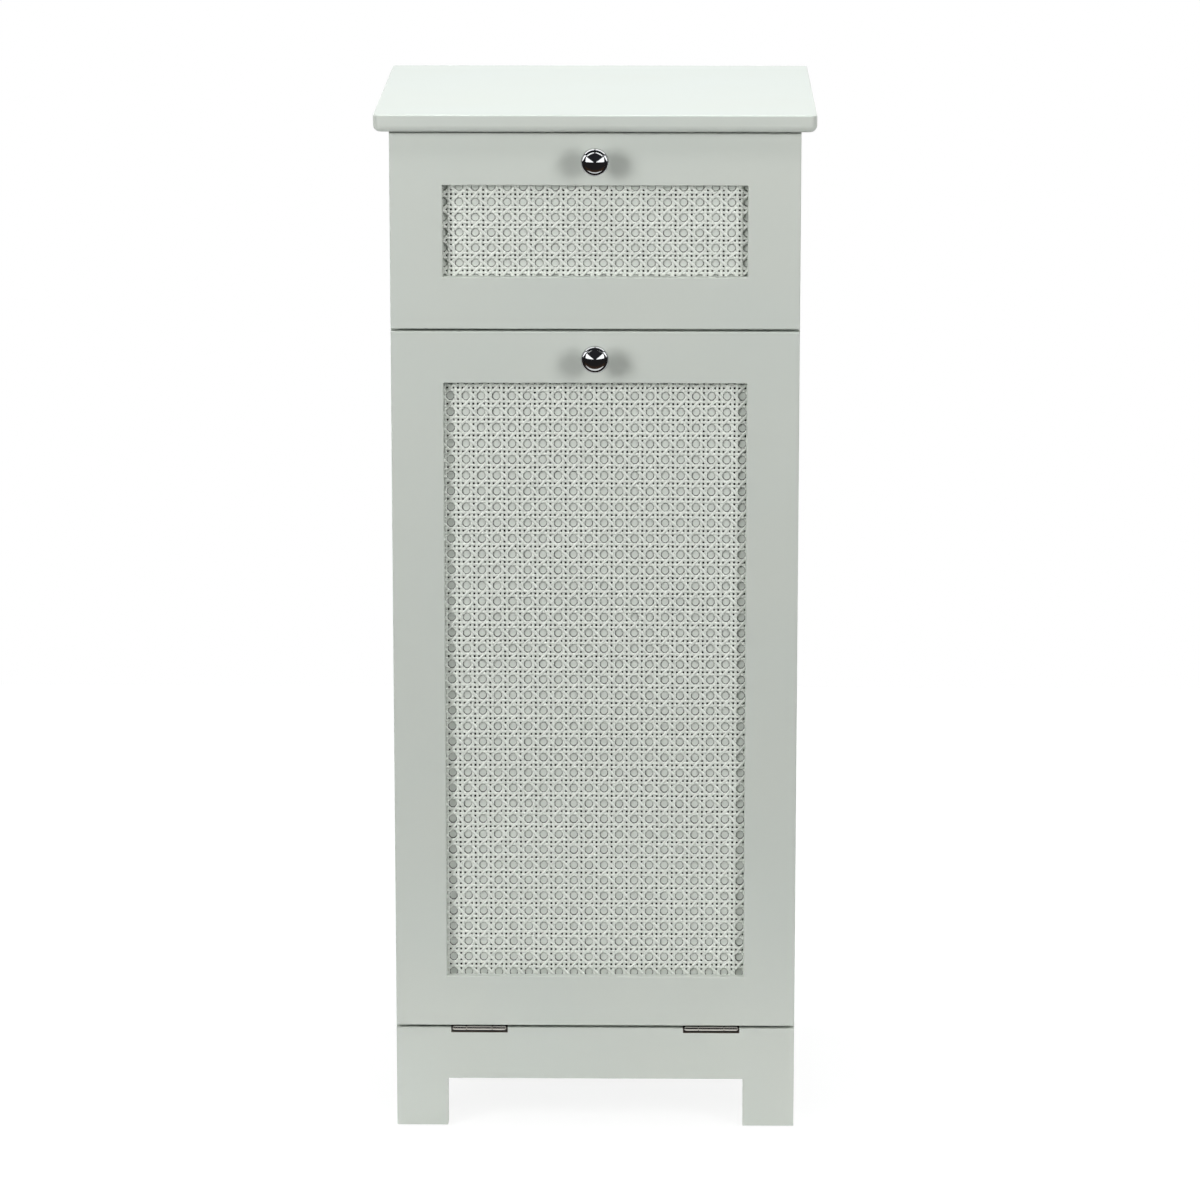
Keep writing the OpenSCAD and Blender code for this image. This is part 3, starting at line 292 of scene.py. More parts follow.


# Plinth board: the same lacquered fibreboard. The mortises for the hinges, and a narrow rim
# round them on its face, are painted near-black: painted shade for the dark gap round each
# hinge.
MORTISE_PAINTED_SHADE = "3A302A"
SHADE_RIM = mm(0.9)
shaded_plinth = empty_material("satin_lacquer_with_painted_shade_at_the_mortises")
leaf_low, leaf_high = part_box("hinge_lower_leaf_right")
# the place without its signs, so that one test finds both mortises
unsigned = add(shaded_plinth, "SeparateXYZ", {0: add(
    shaded_plinth, "VectorMath", {0: add(shaded_plinth, "TexCoord").outputs["Object"]},
    operation="ABSOLUTE").outputs["Vector"]})
mortise_shade = 1.0
for axis, middle, size in zip("XYZ", (leaf_low + leaf_high) / 2, leaf_high - leaf_low):
    within = add(shaded_plinth, "Math", {
        0: unsigned.outputs[axis], 1: abs(middle), 2: size / 2 + SHADE_RIM},
        operation="COMPARE").outputs["Value"]
    mortise_shade = add(shaded_plinth, "Math", {0: mortise_shade, 1: within}, operation="MULTIPLY").outputs["Value"]
shaded_lacquer = sprayed_lacquer(shaded_plinth)
# painted shade inside the mortise boxes and their rim, in place of the lacquer's colour
shaded_lacquer["Base Color"] = add(shaded_plinth, "MixRGB", {
    "Fac": mortise_shade, "Color1": shaded_lacquer["Base Color"], "Color2": srgb(MORTISE_PAINTED_SHADE)}).outputs["Color"]
surface(shaded_plinth, shaded_lacquer)
dress(shaded_plinth, "plinth_board")


# Back panel: 3 mm hardboard, nailed on from behind. The face inside is printed white, and the
# face outside and the cut edges are the bare brown board, mottled and full of pressed fibres.
HARDBOARD_LIGHT = "8E6C50"
HARDBOARD_DARK = "5C412B"
PRINTED_WHITE = "E3E2DC"
FIBRE_LENGTH = 3.0
MOTTLE = 32
TOWARDS = Vector((0, -1, 0))


def turned_to(material, coordinates, way):
    """1 on the faces that look this way, and 0 on the rest."""
    facing = add(material, "VectorMath", {0: coordinates.outputs["Normal"], 1: way},
                 operation="DOT_PRODUCT")
    return add(material, "Math", {0: facing.outputs["Value"], 1: 0.5},
               operation="GREATER_THAN").outputs["Value"]


def hardboard(name, printed_side):
    """Hardboard with the face that looks this way printed white."""
    material = empty_material(name)
    held = add(material, "TexCoord")
    fibre = add(material, "TexNoise", {
        "Vector": held.outputs["Object"], "Scale": per_mm(FIBRE_LENGTH), "Detail": 6,
        "Distortion": 1.2}).outputs["Fac"]
    mottle = add(material, "TexNoise", {
        "Vector": held.outputs["Object"], "Scale": per_mm(MOTTLE), "Detail": 5,
        "Roughness": 0.65}).outputs["Fac"]
    pressed = add(material, "MixRGB", {"Fac": 0.5, "Color1": fibre, "Color2": mottle})
    spread = add(material, "MapRange", {
        "Value": pressed.outputs["Color"], "From Min": 0.33, "From Max": 0.67})
    brown = add(material, "MixRGB", {
        "Fac": spread.outputs["Result"], "Color1": srgb(HARDBOARD_DARK),
        "Color2": srgb(HARDBOARD_LIGHT)})
    colour = add(material, "MixRGB", {
        "Fac": turned_to(material, held, printed_side), "Color1": brown.outputs["Color"],
        "Color2": srgb(PRINTED_WHITE)})
    rough = add(material, "Bump", {"Height": fibre, "Strength": 0.5, "Distance": mm(0.12)})
    surface(material, {
        "Base Color": colour.outputs["Color"], "Roughness": 0.58,
        "Normal": rough.outputs["Normal"]})
    return material


dress(hardboard("hardboard_back", TOWARDS), "back_panel")


# Glued corner blocks behind the plinth, and the dowels in the joints: planed beech, left bare,
# with its grain along the piece and the short dark flecks that beech has.
BEECH_LIGHT = "D9BE94"
BEECH_DARK = "B8935F"
GRAIN_BAND = 9
FLECK = 0.9
ALONG_GRAIN = 0.06


def planed_wood(name, light, dark, along, roughness):
    """Bare or clear-lacquered wood whose grain is drawn out along one axis."""
    material = empty_material(name)
    drawn = add(material, "Mapping", {
        "Vector": add(material, "TexCoord").outputs["Object"],
        "Scale": [ALONG_GRAIN if axis == along else 1 for axis in "XYZ"]}).outputs["Vector"]
    band = add(material, "TexNoise", {
        "Vector": drawn, "Scale": per_mm(GRAIN_BAND), "Detail": 4, "Distortion": 0.8})
    fleck = add(material, "TexNoise", {
        "Vector": drawn, "Scale": per_mm(FLECK), "Detail": 2}).outputs["Fac"]
    mixed = add(material, "MixRGB", {"Fac": 0.3, "Color1": band.outputs["Fac"], "Color2": fleck})
    spread = add(material, "MapRange", {
        "Value": mixed.outputs["Color"], "From Min": 0.38, "From Max": 0.62})
    colour = add(material, "MixRGB", {
        "Fac": spread.outputs["Result"], "Color1": srgb(dark), "Color2": srgb(light)})
    pores = add(material, "Bump", {"Height": fleck, "Strength": 0.4, "Distance": mm(0.06)})
    surface(material, {
        "Base Color": colour.outputs["Color"], "Roughness": roughness,
        "Normal": pores.outputs["Normal"]})
    return material


dress(planed_wood("planed_beech_block", BEECH_LIGHT, BEECH_DARK, "X", 0.55), "corner_blocks")
dress(planed_wood("fluted_beech_dowel", BEECH_LIGHT, BEECH_DARK, "Z", 0.6), "dowels")


# Glides nailed under the feet, bumper dots behind the fronts, the cases of the magnetic catches
# and the runners' rollers: moulded nylon, waxy and a little see-through, with the fine eroded
# skin of its mould, drawn coarser than it is.
NYLON = "EBE9E1"
MOULD_GRAIN = 0.7
nylon = empty_material("moulded_nylon")
grain = add(nylon, "TexNoise", {
    "Vector": add(nylon, "TexCoord").outputs["Object"], "Scale": per_mm(MOULD_GRAIN)})
skin = add(nylon, "Bump", {
    "Height": grain.outputs["Fac"], "Strength": 0.4, "Distance": mm(0.02)})
surface(nylon, {
    "Base Color": srgb(NYLON), "Roughness": 0.42, "Normal": skin.outputs["Normal"],
    "Subsurface Weight": 0.12, "Subsurface Radius": (mm(1.2), mm(1.0), mm(0.8))})
dress(nylon, "foot_glides", "bumper_dots", "magnet_catches", "front_roller_left",
      "front_roller_right", "rear_roller_left", "rear_roller_right")


# Screws, nails, cam bolts, pivot pins and strike plates: cold-headed or punched steel with a
# thin bright coat of zinc, clouded blue-grey. The cam locks are cast zinc, tumbled dull.
ZINC_LIGHT = "C6CACE"
ZINC_DARK = "9CA1A7"
ZINC_CLOUD = 3.0


def zinc(name, bright, dull):
    """Zinc whose gloss drifts between a bright and a dull roughness."""
    material = empty_material(name)
    spangle = add(material, "TexNoise", {
        "Vector": add(material, "TexCoord").outputs["Object"], "Scale": per_mm(ZINC_CLOUD),
        "Detail": 4}).outputs["Fac"]
    colour = add(material, "MixRGB", {
        "Fac": spangle, "Color1": srgb(ZINC_DARK), "Color2": srgb(ZINC_LIGHT)})
    polish = add(material, "MapRange", {"Value": spangle, "To Min": bright, "To Max": dull})
    surface(material, {
        "Base Color": colour.outputs["Color"], "Metallic": 1,
        "Roughness": polish.outputs["Result"]})
    return material


dress(zinc("bright_zinc_on_steel", 0.20, 0.40),
      "cam_bolts", "back_nails", "runner_screws", "catch_screws", "stay_pins", "strike_plates",
      "strike_screws", "drawer_box_screws", "drawer_runner_screws", "drawer_knob_screw",
      "drawer_front_screws", "door_knob_screw", "bag_frame_screws", "stay_screws")
dress(zinc("tumbled_cast_zinc", 0.38, 0.58), "cam_locks")


# Drawer runners: rolled steel channels under a thick coat of cream epoxy powder, which flows
# out smooth and slightly wavy.
POWDER_CREAM = "E9E6DC"
POWDER_WAVE = 2.5
powder_coat = empty_material("epoxy_powder_coat")
wave = add(powder_coat, "TexNoise", {
    "Vector": add(powder_coat, "TexCoord").outputs["Object"], "Scale": per_mm(POWDER_WAVE)})
flow = add(powder_coat, "Bump", {
    "Height": wave.outputs["Fac"], "Strength": 0.5, "Distance": mm(0.04)})
surface(powder_coat, {
    "Base Color": srgb(POWDER_CREAM), "Roughness": 0.32, "Normal": flow.outputs["Normal"]})
dress(powder_coat, "runner_fixed_left", "runner_fixed_right", "drawer_runner_left",
      "drawer_runner_right")


# Two butt hinges at the foot of the door: leaves of pressed steel, cranked and rolled round a
# loose pin, nickel plated, and screwed into the edges. The strip that they are pressed from
# has fine lines along it, and the thin plating keeps them.
NICKEL_LIGHT = "D2D0CA"
NICKEL_DARK = "B6B3AC"
DRAW_LINE = 0.4
# millimetres, and for a leaf's section from the pin: how far back, how far towards the leaf
LEAF_T = 1.1
LEAF_LEVEL = 3.0
LEAF_FROM, LEAF_TO = 3.6, 12
KNUCKLE_R, KNUCKLE_BORE = 2.0, 1.3
ROLL = 280
ROLL_STEPS = 20
CRANK_OUTER, CRANK_INNER = 2.4, 2.0
LEAF_END = 22.8
MIDDLE_KNUCKLE = 10.9
KNUCKLE_GAP = 0.6
EASED = 0.15
CUT_ANGLE = math.radians(50)
ROLL_ANGLE = math.radians(20)
nickel = empty_material("nickel_plated_steel")
along_pin = add(nickel, "Mapping", {
    "Vector": add(nickel, "TexCoord").outputs["Object"], "Scale": (0.04, 1, 1)})
drawn = add(nickel, "TexNoise", {
    "Vector": along_pin.outputs["Vector"], "Scale": per_mm(DRAW_LINE), "Detail": 3})
tone = add(nickel, "MixRGB", {
    "Fac": drawn.outputs["Fac"], "Color1": srgb(NICKEL_DARK), "Color2": srgb(NICKEL_LIGHT)})
scratch = add(nickel, "Bump", {
    "Height": drawn.outputs["Fac"], "Strength": 0.3, "Distance": mm(0.01)})
surface(nickel, {
    "Base Color": tone.outputs["Color"], "Metallic": 1, "Roughness": 0.17,
    "Normal": scratch.outputs["Normal"]})
dress(nickel, "hinge_pins", "hinge_screws_lower", "hinge_screws_upper")


def new_piece(name, mesh_bm, material, body, stands_for):
    """Turns a bmesh into a piece that rides on a body and stands for a node."""
    bmesh.ops.recalc_face_normals(mesh_bm, faces=mesh_bm.faces)
    for face in mesh_bm.faces:
        face.smooth = True
    mesh = bpy.data.meshes.new(name)
    mesh_bm.to_mesh(mesh)
    mesh_bm.free()
    mesh.materials.append(material)
    piece = bpy.data.objects.new(name, mesh)
    scene.collection.objects.link(piece)
    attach(piece, body)
    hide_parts(stands_for)
    return piece


def verts_in(geometry):
    return [part for part in geometry if isinstance(part, bmesh.types.BMVert)]


def keep_sharp(bm, angle):
    """Marks the edges that turn by more than this angle, so that they stay crisp."""
    bm.normal_update()
    for edge in bm.edges:
        edge.smooth = edge.calc_face_angle(0) < angle


def round_pin(radius, turn_from, turn):
    """Points of a leaf's section round the pin, from one direction through a turn."""
    turns = [math.radians(turn_from + turn * i / ROLL_STEPS) for i in range(ROLL_STEPS + 1)]
    return [(radius * math.cos(angle), radius * math.sin(angle)) for angle in turns]


def plate_first(faces):
    """The plate's end before the knuckle's, because the plate reaches further back."""
    return sorted(faces, key=lambda face: face.calc_center_median().y, reverse=True)


def drawn_out(bm, faces, far):
    """Draws faces out along the pin, and gives their moved copies, the plate's first."""
    grown = bmesh.ops.extrude_face_region(bm, geom=faces)["geom"]
    bmesh.ops.translate(bm, verts=verts_in(grown), vec=Vector((mm(far), 0, 0)))
    return plate_first(part for part in grown if isinstance(part, bmesh.types.BMFace))


def roll_leaf(node, body, level, knuckles_outside):
    """Draws half a leaf out along the pin, plate and knuckles in one, and mirrors it."""
    low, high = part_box(node)
    pin_low, pin_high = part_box("hinge_pins")
    middle = Vector((
        (low.x + high.x) / 2, (pin_low.y + pin_high.y) / 2, (pin_low.z + pin_high.z) / 2))
    start = LEAF_END if knuckles_outside else 0
    plate = [(LEAF_FROM, LEAF_LEVEL - LEAF_T), (LEAF_FROM, LEAF_LEVEL), (LEAF_TO, LEAF_LEVEL),
             (LEAF_TO, LEAF_LEVEL - LEAF_T)]
    rolled = [
        (LEAF_FROM, LEAF_LEVEL), (CRANK_OUTER, KNUCKLE_R), *round_pin(KNUCKLE_R, 90, ROLL),
        *round_pin(KNUCKLE_BORE, 90 + ROLL, -ROLL), (CRANK_INNER, KNUCKLE_BORE),
        (LEAF_FROM, LEAF_LEVEL - LEAF_T)]
    bm = bmesh.new()
    for section in (plate, rolled):
        bm.faces.new([bm.verts.new(middle + Vector((mm(start), mm(back), mm(level * out))))
                      for back, out in section])
    bmesh.ops.remove_doubles(bm, verts=bm.verts, dist=mm(0.01))
    if knuckles_outside:
        notch = MIDDLE_KNUCKLE + KNUCKLE_GAP
        ends = drawn_out(bm, plate_first(bm.faces), notch - LEAF_END)
        drawn_out(bm, ends[:1], -notch)
    else:
        ends = drawn_out(bm, plate_first(bm.faces), MIDDLE_KNUCKLE)
        drawn_out(bm, ends[:1], LEAF_END - MIDDLE_KNUCKLE)
    halved = [face for face in bm.faces
              if all(abs(vert.co.x - middle.x) < mm(0.01) for vert in face.verts)]
    bmesh.ops.delete(bm, geom=halved, context="FACES")
    bmesh.ops.mirror(bm, geom=bm.verts[:] + bm.edges[:] + bm.faces[:],
                     matrix=Matrix.Translation(-middle), axis="X", merge_dist=mm(0.01))
    bmesh.ops.recalc_face_normals(bm, faces=bm.faces)
    bmesh.ops.bevel(
        bm, geom=[edge for edge in bm.edges if edge.calc_face_angle(0) > CUT_ANGLE],
        offset=mm(EASED), segments=2, affect="EDGES", profile=0.5, material=-1)
    keep_sharp(bm, ROLL_ANGLE)
    new_piece(f"{node}_rolled", bm, nickel, body, node)


for side in ("left", "right"):
    roll_leaf(f"hinge_lower_leaf_{side}", "carcass", -1, True)
    roll_leaf(f"hinge_upper_leaf_{side}", "door", 1, False)


# Drawer box: boards of pale pine, planed and clear lacquered, screwed at the corners round a
# hardboard bottom that slides in a groove. The grain runs along each board.
PINE_LIGHT = "E6D2AC"
PINE_DARK = "CFAC78"
dress(planed_wood("lacquered_pine_side", PINE_LIGHT, PINE_DARK, "Y", 0.42),
      "drawer_box_side_left", "drawer_box_side_right")
dress(planed_wood("lacquered_pine_cross", PINE_LIGHT, PINE_DARK, "X", 0.42),
      "drawer_box_front", "drawer_box_back")
dress(hardboard("hardboard_drawer_bottom", (0, 0, 1)), "drawer_box_bottom")


# Cane in both fronts: split rattan, flat behind and round in front. Pairs of uprights and pairs
# of level strands cross over and under, and single slanting ones run through both ways, which
# leaves eight-sided holes. The web is glued into a rebate and sprayed with the front.
STRAND_T = mm(1.05)
# shares of the web's pitch: a strand's width, and how far the two of a pair lie off its middle
STRAND_W = 0.18
SLANT_W = 0.2
PAIR = 0.15
# shares of the strand's width and thickness
STRAND_SECTION = (
    (0.40, -0.50), (0.50, -0.05), (0.19, 0.46), (-0.19, 0.46), (-0.50, -0.05), (-0.40, -0.50))
# shares of a cell: how far a crest runs to each side of a crossing, and where the crossings are
CREST = 0.055
SLANT_CREST = 0.2
PAIR_CROSSINGS = (0.15, 0.35, 0.65, 0.85)
SLANT_CROSSINGS = (0, 0.5)
WANDER = mm(0.35)
WANDER_REACH = mm(45)
WANDER_SEED = 3
# a web's pitch across and up, and where the middle of one of its holes is
DRAWER_WEB = (mm(13.67), mm(13.1), mm(-116.1), mm(770.25))
DOOR_WEB = (mm(13.2), mm(13.914), mm(-5.7), mm(154.0))
# lighter than the boards' lacquer, though the cane is sprayed with it: painted highlight for the
# light that the round strands catch
CANE_LIGHT = "EFF2EC"
CANE_DARK = "DCE1D9"
STRAND_STREAK = 0.6


def painted_cane(name, lean):
    """Sprayed cane: the paint lets the cane's fine lengthwise streaks show through."""
    material = empty_material(name)
    turned = add(material, "Mapping", {
        "Vector": add(material, "TexCoord").outputs["Object"],
        "Rotation": (0, math.radians(lean), 0)})
    drawn = add(material, "Mapping", {"Vector": turned.outputs["Vector"], "Scale": (1, 1, 0.06)})
    streak = add(material, "TexNoise", {
        "Vector": drawn.outputs["Vector"], "Scale": per_mm(STRAND_STREAK), "Detail": 3})
    streak = streak.outputs["Fac"]
    colour = add(material, "MixRGB", {
        "Fac": streak, "Color1": srgb(CANE_DARK), "Color2": srgb(CANE_LIGHT)})
    ridges = add(material, "Bump", {"Height": streak, "Strength": 0.5, "Distance": mm(0.05)})
    surface(material, {
        "Base Color": colour.outputs["Color"], "Roughness": 0.32,
        "Normal": ridges.outputs["Normal"]})
    return material


def strand_path(start, cell, cells, crossings, crest, first_over):
    """Points along a strand, which by turns lies over and under what it crosses."""
    path = []
    for i in range(cells):
        for k, crossing in enumerate(crossings):
            rise = STRAND_T / 2 if (k % 2 == 0) == first_over else -STRAND_T / 2
            for edge in (-crest, crest):
                path.append(start + cell * (i + crossing + edge) + TOWARDS * rise)
    return path


def pull_strand(bm, path, across):
    """Draws the strand's section along a path."""
    ring = [bm.verts.new(path[0] + across * side + TOWARDS * (STRAND_T * rise))
            for side, rise in STRAND_SECTION]
    edges = [bm.edges.new((ring[i - 1], ring[i])) for i in range(len(ring))]
    for here, there in zip(path, path[1:]):
        grown = bmesh.ops.extrude_edge_only(bm, edges=edges)["geom"]
        edges = [part for part in grown
                 if isinstance(part, bmesh.types.BMEdge) and part.is_boundary]
        bmesh.ops.translate(bm, verts=verts_in(grown), vec=there - here)


def lay_beside(bm, shifts):
    """Copies what the bmesh holds to each of these shifts, and takes the first one out."""
    first = bm.verts[:] + bm.edges[:] + bm.faces[:]
    for shift in shifts:
        copied = bmesh.ops.duplicate(bm, geom=first)["geom"]
        bmesh.ops.translate(bm, verts=verts_in(copied), vec=shift)
    bmesh.ops.delete(bm, geom=verts_in(first), context="VERTS")


def trim_web(bm, planes):
    """Lets the strands wander as a hand-laid web does, then cuts them off at the rebate."""
    for vert in bm.verts:
        drift = noise.noise_vector(vert.co / WANDER_REACH) * WANDER
        vert.co += Vector((drift.x, 0, drift.z))
    for point, outward in planes:
        bmesh.ops.bisect_plane(
            bm, geom=bm.verts[:] + bm.edges[:] + bm.faces[:], plane_co=point,
            plane_no=outward, clear_outer=True)
        bmesh.ops.holes_fill(bm, edges=[edge for edge in bm.edges if edge.is_boundary], sides=0)


def lay_pairs(start, cell, cells, beside, copies, room, over, planes):
    """Lays pairs of strands side by side, as many as fit whole between two limits."""
    bm = bmesh.new()
    for side, first_over in ((PAIR, over), (-PAIR, not over)):
        path = strand_path(
            start - cell + side * beside, cell, cells + 2, PAIR_CROSSINGS, CREST, first_over)
        pull_strand(bm, path, STRAND_W * beside)
    half_pair = (PAIR + STRAND_W / 2) * beside.length
    from_start = [i * beside.length for i in range(copies + 1)]
    lay_beside(bm, [beside.normalized() * far for far in from_start
                    if room[0] < far - half_pair and far + half_pair < room[1]])
    trim_web(bm, planes)
    return bm


def lay_slants(start, step_x, step_z, across, up, lean, planes):
    """Lays the slanting strands of one lean, from edge to edge of the web."""
    bm = bmesh.new()
    run = step_x + lean * step_z
    path = strand_path(
        start - run + step_z / 2, run, across + 2, SLANT_CROSSINGS, SLANT_CREST, lean < 0)
    square = Vector((run.z, 0, -run.x)).normalized()
    pull_strand(bm, path, square * (SLANT_W * step_x.length))
    # a slant climbs as many cells as the web is wide
    lowest = -across - 2 if lean > 0 else -1
    lay_beside(bm, [i * step_z for i in range(lowest, lowest + up + across + 4)])
    trim_web(bm, planes)
    return bm


def weave(node, body, web, finishes):
    """Weaves a front's cane in its node's box, round the hole whose middle is given."""
    pitch_x, pitch_z, hole_x, hole_z = web
    low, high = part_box(node)
    step_x, step_z = Vector((pitch_x, 0, 0)), Vector((0, 0, pitch_z))
    # the pairs cross half a cell away from the holes
    start = Vector((
        hole_x + (math.ceil((low.x - hole_x) / pitch_x) - 0.5) * pitch_x,
        (low.y + high.y) / 2,
        hole_z + (math.ceil((low.z - hole_z) / pitch_z) - 0.5) * pitch_z))
    across = math.ceil((high.x - start.x) / pitch_x)
    up = math.ceil((high.z - start.z) / pitch_z)
    side_cuts = [(low, (-1, 0, 0)), (high, (1, 0, 0))]
    end_cuts = [(low, (0, 0, -1)), (high, (0, 0, 1))]
    room_x, room_z = (low.x - start.x, high.x - start.x), (low.z - start.z, high.z - start.z)
    layers = {
        "warp": lay_pairs(start, step_z, up, step_x, across, room_x, True, end_cuts),
        "weft": lay_pairs(start, step_x, across, step_z, up, room_z, False, side_cuts),
        "rising": lay_slants(start, step_x, step_z, across, up, 1, side_cuts + end_cuts),
        "falling": lay_slants(start, step_x, step_z, across, up, -1, side_cuts + end_cuts)}
    for layer, bm in layers.items():
        new_piece(f"{node}_{layer}", bm, finishes[layer], body, node)


cane_finishes = {
    layer: painted_cane(f"painted_cane_{layer}", lean)
    for layer, lean in (("warp", 0), ("weft", 90), ("rising", -45), ("falling", 45))}
# without a seed the strands would wander another way in each run
noise.seed_set(WANDER_SEED)
weave("drawer_cane", "drawer", DRAWER_WEB, cane_finishes)
weave("door_cane", "door", DOOR_WEB, cane_finishes)


# Boards behind the cane: thin fibreboard, glued into the same rebate. In front they carry a disc
# of paint lighter than the lacquer behind each eight-sided hole, and are near-black round it:
# painted light in the holes, painted shade behind and between the strands. At the back they
# are sprayed all over in the same light paint.
# painted shade in the gaps between the strands; the drawer's is lighter, as its cane is more
# brightly lit
DOOR_GAP_SHADE = "1E1C1A"
DRAWER_GAP_SHADE = "3D3A36"
# lighter than the boards' lacquer: painted light against the shade in the holes
LIGHTENED_SPRAY = "DCE1DA"
DISC = 0.238
DISC_EDGE = 0.025


def backing_with_painted_shade(name, web, gap_shade):
    """Painted shade with a lighter disc of paint behind each hole of the web, on the front face.
    """
    pitch_x, pitch_z, hole_x, hole_z = web
    material = empty_material(name)
    held = add(material, "TexCoord")
    place = held.outputs["Object"]
    from_hole = add(material, "VectorMath", {0: place, 1: (hole_x, 0, hole_z)},
                    operation="SUBTRACT").outputs["Vector"]
    cells = add(material, "VectorMath", {0: from_hole, 1: (1 / pitch_x, 0, 1 / pitch_z),
                                         2: (0.5, 0, 0.5)}, operation="MULTIPLY_ADD")
    in_cell = add(material, "VectorMath", {0: cells.outputs["Vector"]}, operation="FRACTION")
    off_centre = add(material, "VectorMath", {
        0: in_cell.outputs["Vector"], 1: (0.5, 0, 0.5)}, operation="DISTANCE")
    # painted shade outside each disc, on the front face only
    shade_mask = add(material, "MapRange", {
        "Value": off_centre.outputs["Value"], "From Min": DISC - DISC_EDGE,
        "From Max": DISC + DISC_EDGE})
    in_front = turned_to(material, held, TOWARDS)
    shade_mask = add(material, "Math", {0: shade_mask.outputs["Result"], 1: in_front}, operation="MULTIPLY")
    mist = add(material, "TexNoise", {
        "Vector": place, "Scale": per_mm(ORANGE_PEEL), "Detail": 2})
    colour = add(material, "MixRGB", {
        "Fac": shade_mask.outputs["Value"], "Color1": srgb(LIGHTENED_SPRAY), "Color2": srgb(gap_shade)})
    skin = add(material, "Bump", {
        "Height": mist.outputs["Fac"], "Strength": 0.6, "Distance": mm(0.05)})
    surface(material, {
        "Base Color": colour.outputs["Color"], "Roughness": 0.55,
        "Normal": skin.outputs["Normal"]})
    return material


dress(backing_with_painted_shade("painted_shade_behind_drawer_cane", DRAWER_WEB, DRAWER_GAP_SHADE),
      "drawer_cane_backing")
dress(backing_with_painted_shade("painted_shade_behind_door_cane", DOOR_WEB, DOOR_GAP_SHADE), "door_cane_backing")


# Two mushroom knobs, each screwed on from behind: turned brass, polished and chrome plated,
# with a foot, a narrow neck and a domed head with a rolled rim. The plating is a near mirror.
CHROME = "C4C6C7"
# the section is in millimetres: the distance from the axis, and from the front's face
KNOB_STEM = (
    (0, 9), (2.05, 9), (2.05, 0), (6.5, 0), (7, 0.5), (7, 1.6), (5.6, 2.4), (5, 4), (5, 9.5),
    (5.7, 11.9), (7.6, 14.5))
RIM_CENTRE, RIM_R, RIM_FROM, RIM_TO = (9.3, 19.1), 2.7, -55, 94
DOME_EDGE = (8.95, 21.45)
SHARP = math.radians(35)
DOME_CENTRE, DOME_R = (0, 10.06), 14.94
ARC_STEPS = 12
HAZE = 6
chrome = empty_material("chrome_on_turned_brass")
haze = add(chrome, "TexNoise", {
    "Vector": add(chrome, "TexCoord").outputs["Object"], "Scale": per_mm(HAZE), "Detail": 4})
polish = add(chrome, "MapRange", {
    "Value": haze.outputs["Fac"], "To Min": 0.03, "To Max": 0.09})
surface(chrome, {
    "Base Color": srgb(CHROME), "Metallic": 1, "Roughness": polish.outputs["Result"]})


def arc(centre, radius, degrees_from, degrees_to):
    """Points on an arc of the section, both ends among them."""
    turns = [math.radians(degrees_from + (degrees_to - degrees_from) * i / ARC_STEPS)
             for i in range(ARC_STEPS + 1)]
    return [(centre[0] + radius * math.cos(turn), centre[1] + radius * math.sin(turn))
            for turn in turns]


def turn_knob(node, body):
    """Spins the knob's half section about its axis, which points out of the front."""
    low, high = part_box(node)
    middle = Vector((0, high.y, (low.z + high.z) / 2))
    dome_from = math.degrees(math.acos(DOME_EDGE[0] / DOME_R))
    section = [*KNOB_STEM, *arc(RIM_CENTRE, RIM_R, RIM_FROM, RIM_TO),
               DOME_EDGE, *arc(DOME_CENTRE, DOME_R, dome_from, 90)]
    bm = bmesh.new()
    verts = [bm.verts.new(middle + Vector((mm(x), mm(-y), 0))) for x, y in section]
    edges = [bm.edges.new(pair) for pair in zip(verts, verts[1:])]
    bmesh.ops.spin(bm, geom=verts + edges, cent=middle, axis=(0, 1, 0), angle=math.tau,
                   steps=96, use_merge=True)
    bmesh.ops.remove_doubles(bm, verts=bm.verts, dist=mm(0.001))
    keep_sharp(bm, SHARP)
    new_piece(f"{node}_turned", bm, chrome, body, node)


turn_knob("drawer_knob", "drawer")
turn_knob("door_knob", "door")


# Inside the door: quadrant stays of zinc-plated strip that stop its tilt, and the bag's frame
# of drawn steel wire, bent and welded, with the fine haze of a bright galvanised wire.
dress(zinc("zinc_plated_strip", 0.24, 0.42), "stay_left", "stay_right")
WIRE_LIGHT = "CBCDCF"
WIRE_DARK = "A9ACAF"
WIRE_HAZE = 1.2
wire = empty_material("bright_drawn_wire")
drawn = add(wire, "TexNoise", {
    "Vector": add(wire, "TexCoord").outputs["Object"], "Scale": per_mm(WIRE_HAZE), "Detail": 3})
tone = add(wire, "MixRGB", {
    "Fac": drawn.outputs["Fac"], "Color1": srgb(WIRE_DARK), "Color2": srgb(WIRE_LIGHT)})
surface(wire, {"Base Color": tone.outputs["Color"], "Metallic": 1, "Roughness": 0.24})
dress(wire, "bag_frame")


# Laundry bag: unbleached cotton canvas, cut as a wall and a floor and sewn, then hung on the
# wire by a sewn sleeve. Empty, its walls draw in between the corners and fall in soft folds.
# The weave is drawn coarser than it is, so that it shows.
CLOTH_T = mm(1.2)
SLEEVE_R = mm(3.85)
WIRE_R = mm(2.5)
WIRE_GAP = mm(0.5)
HOOP_BEND = mm(26)
FLOOR_BEND = mm(12)
WALL_GRID = mm(9)
DRAW_IN = mm(7)
# folds deepen down to this share of the wall's height, and fade towards the corners
FULL_SLACK = 0.25
CORNER_HOLD = 4
# a drop is how fast folds change downwards, as a share of how fast they change across
FOLD_DEPTH = mm(13)
FOLD_WIDTH = mm(36)
FOLD_DROP = 0.14
FOLD_MEAN, FOLD_SWING = 0.45, 0.5
CREASE_DEPTH = mm(4)
CREASE_WIDTH = mm(61.2)
CREASE_DROP = 0.5
CREASE_CRISP = 6
HEM_DEPTH = mm(14)
CANVAS = "E6DDC9"
CANVAS_SHADE = "C6B99E"
THREAD = 2.2
SLUB = 8
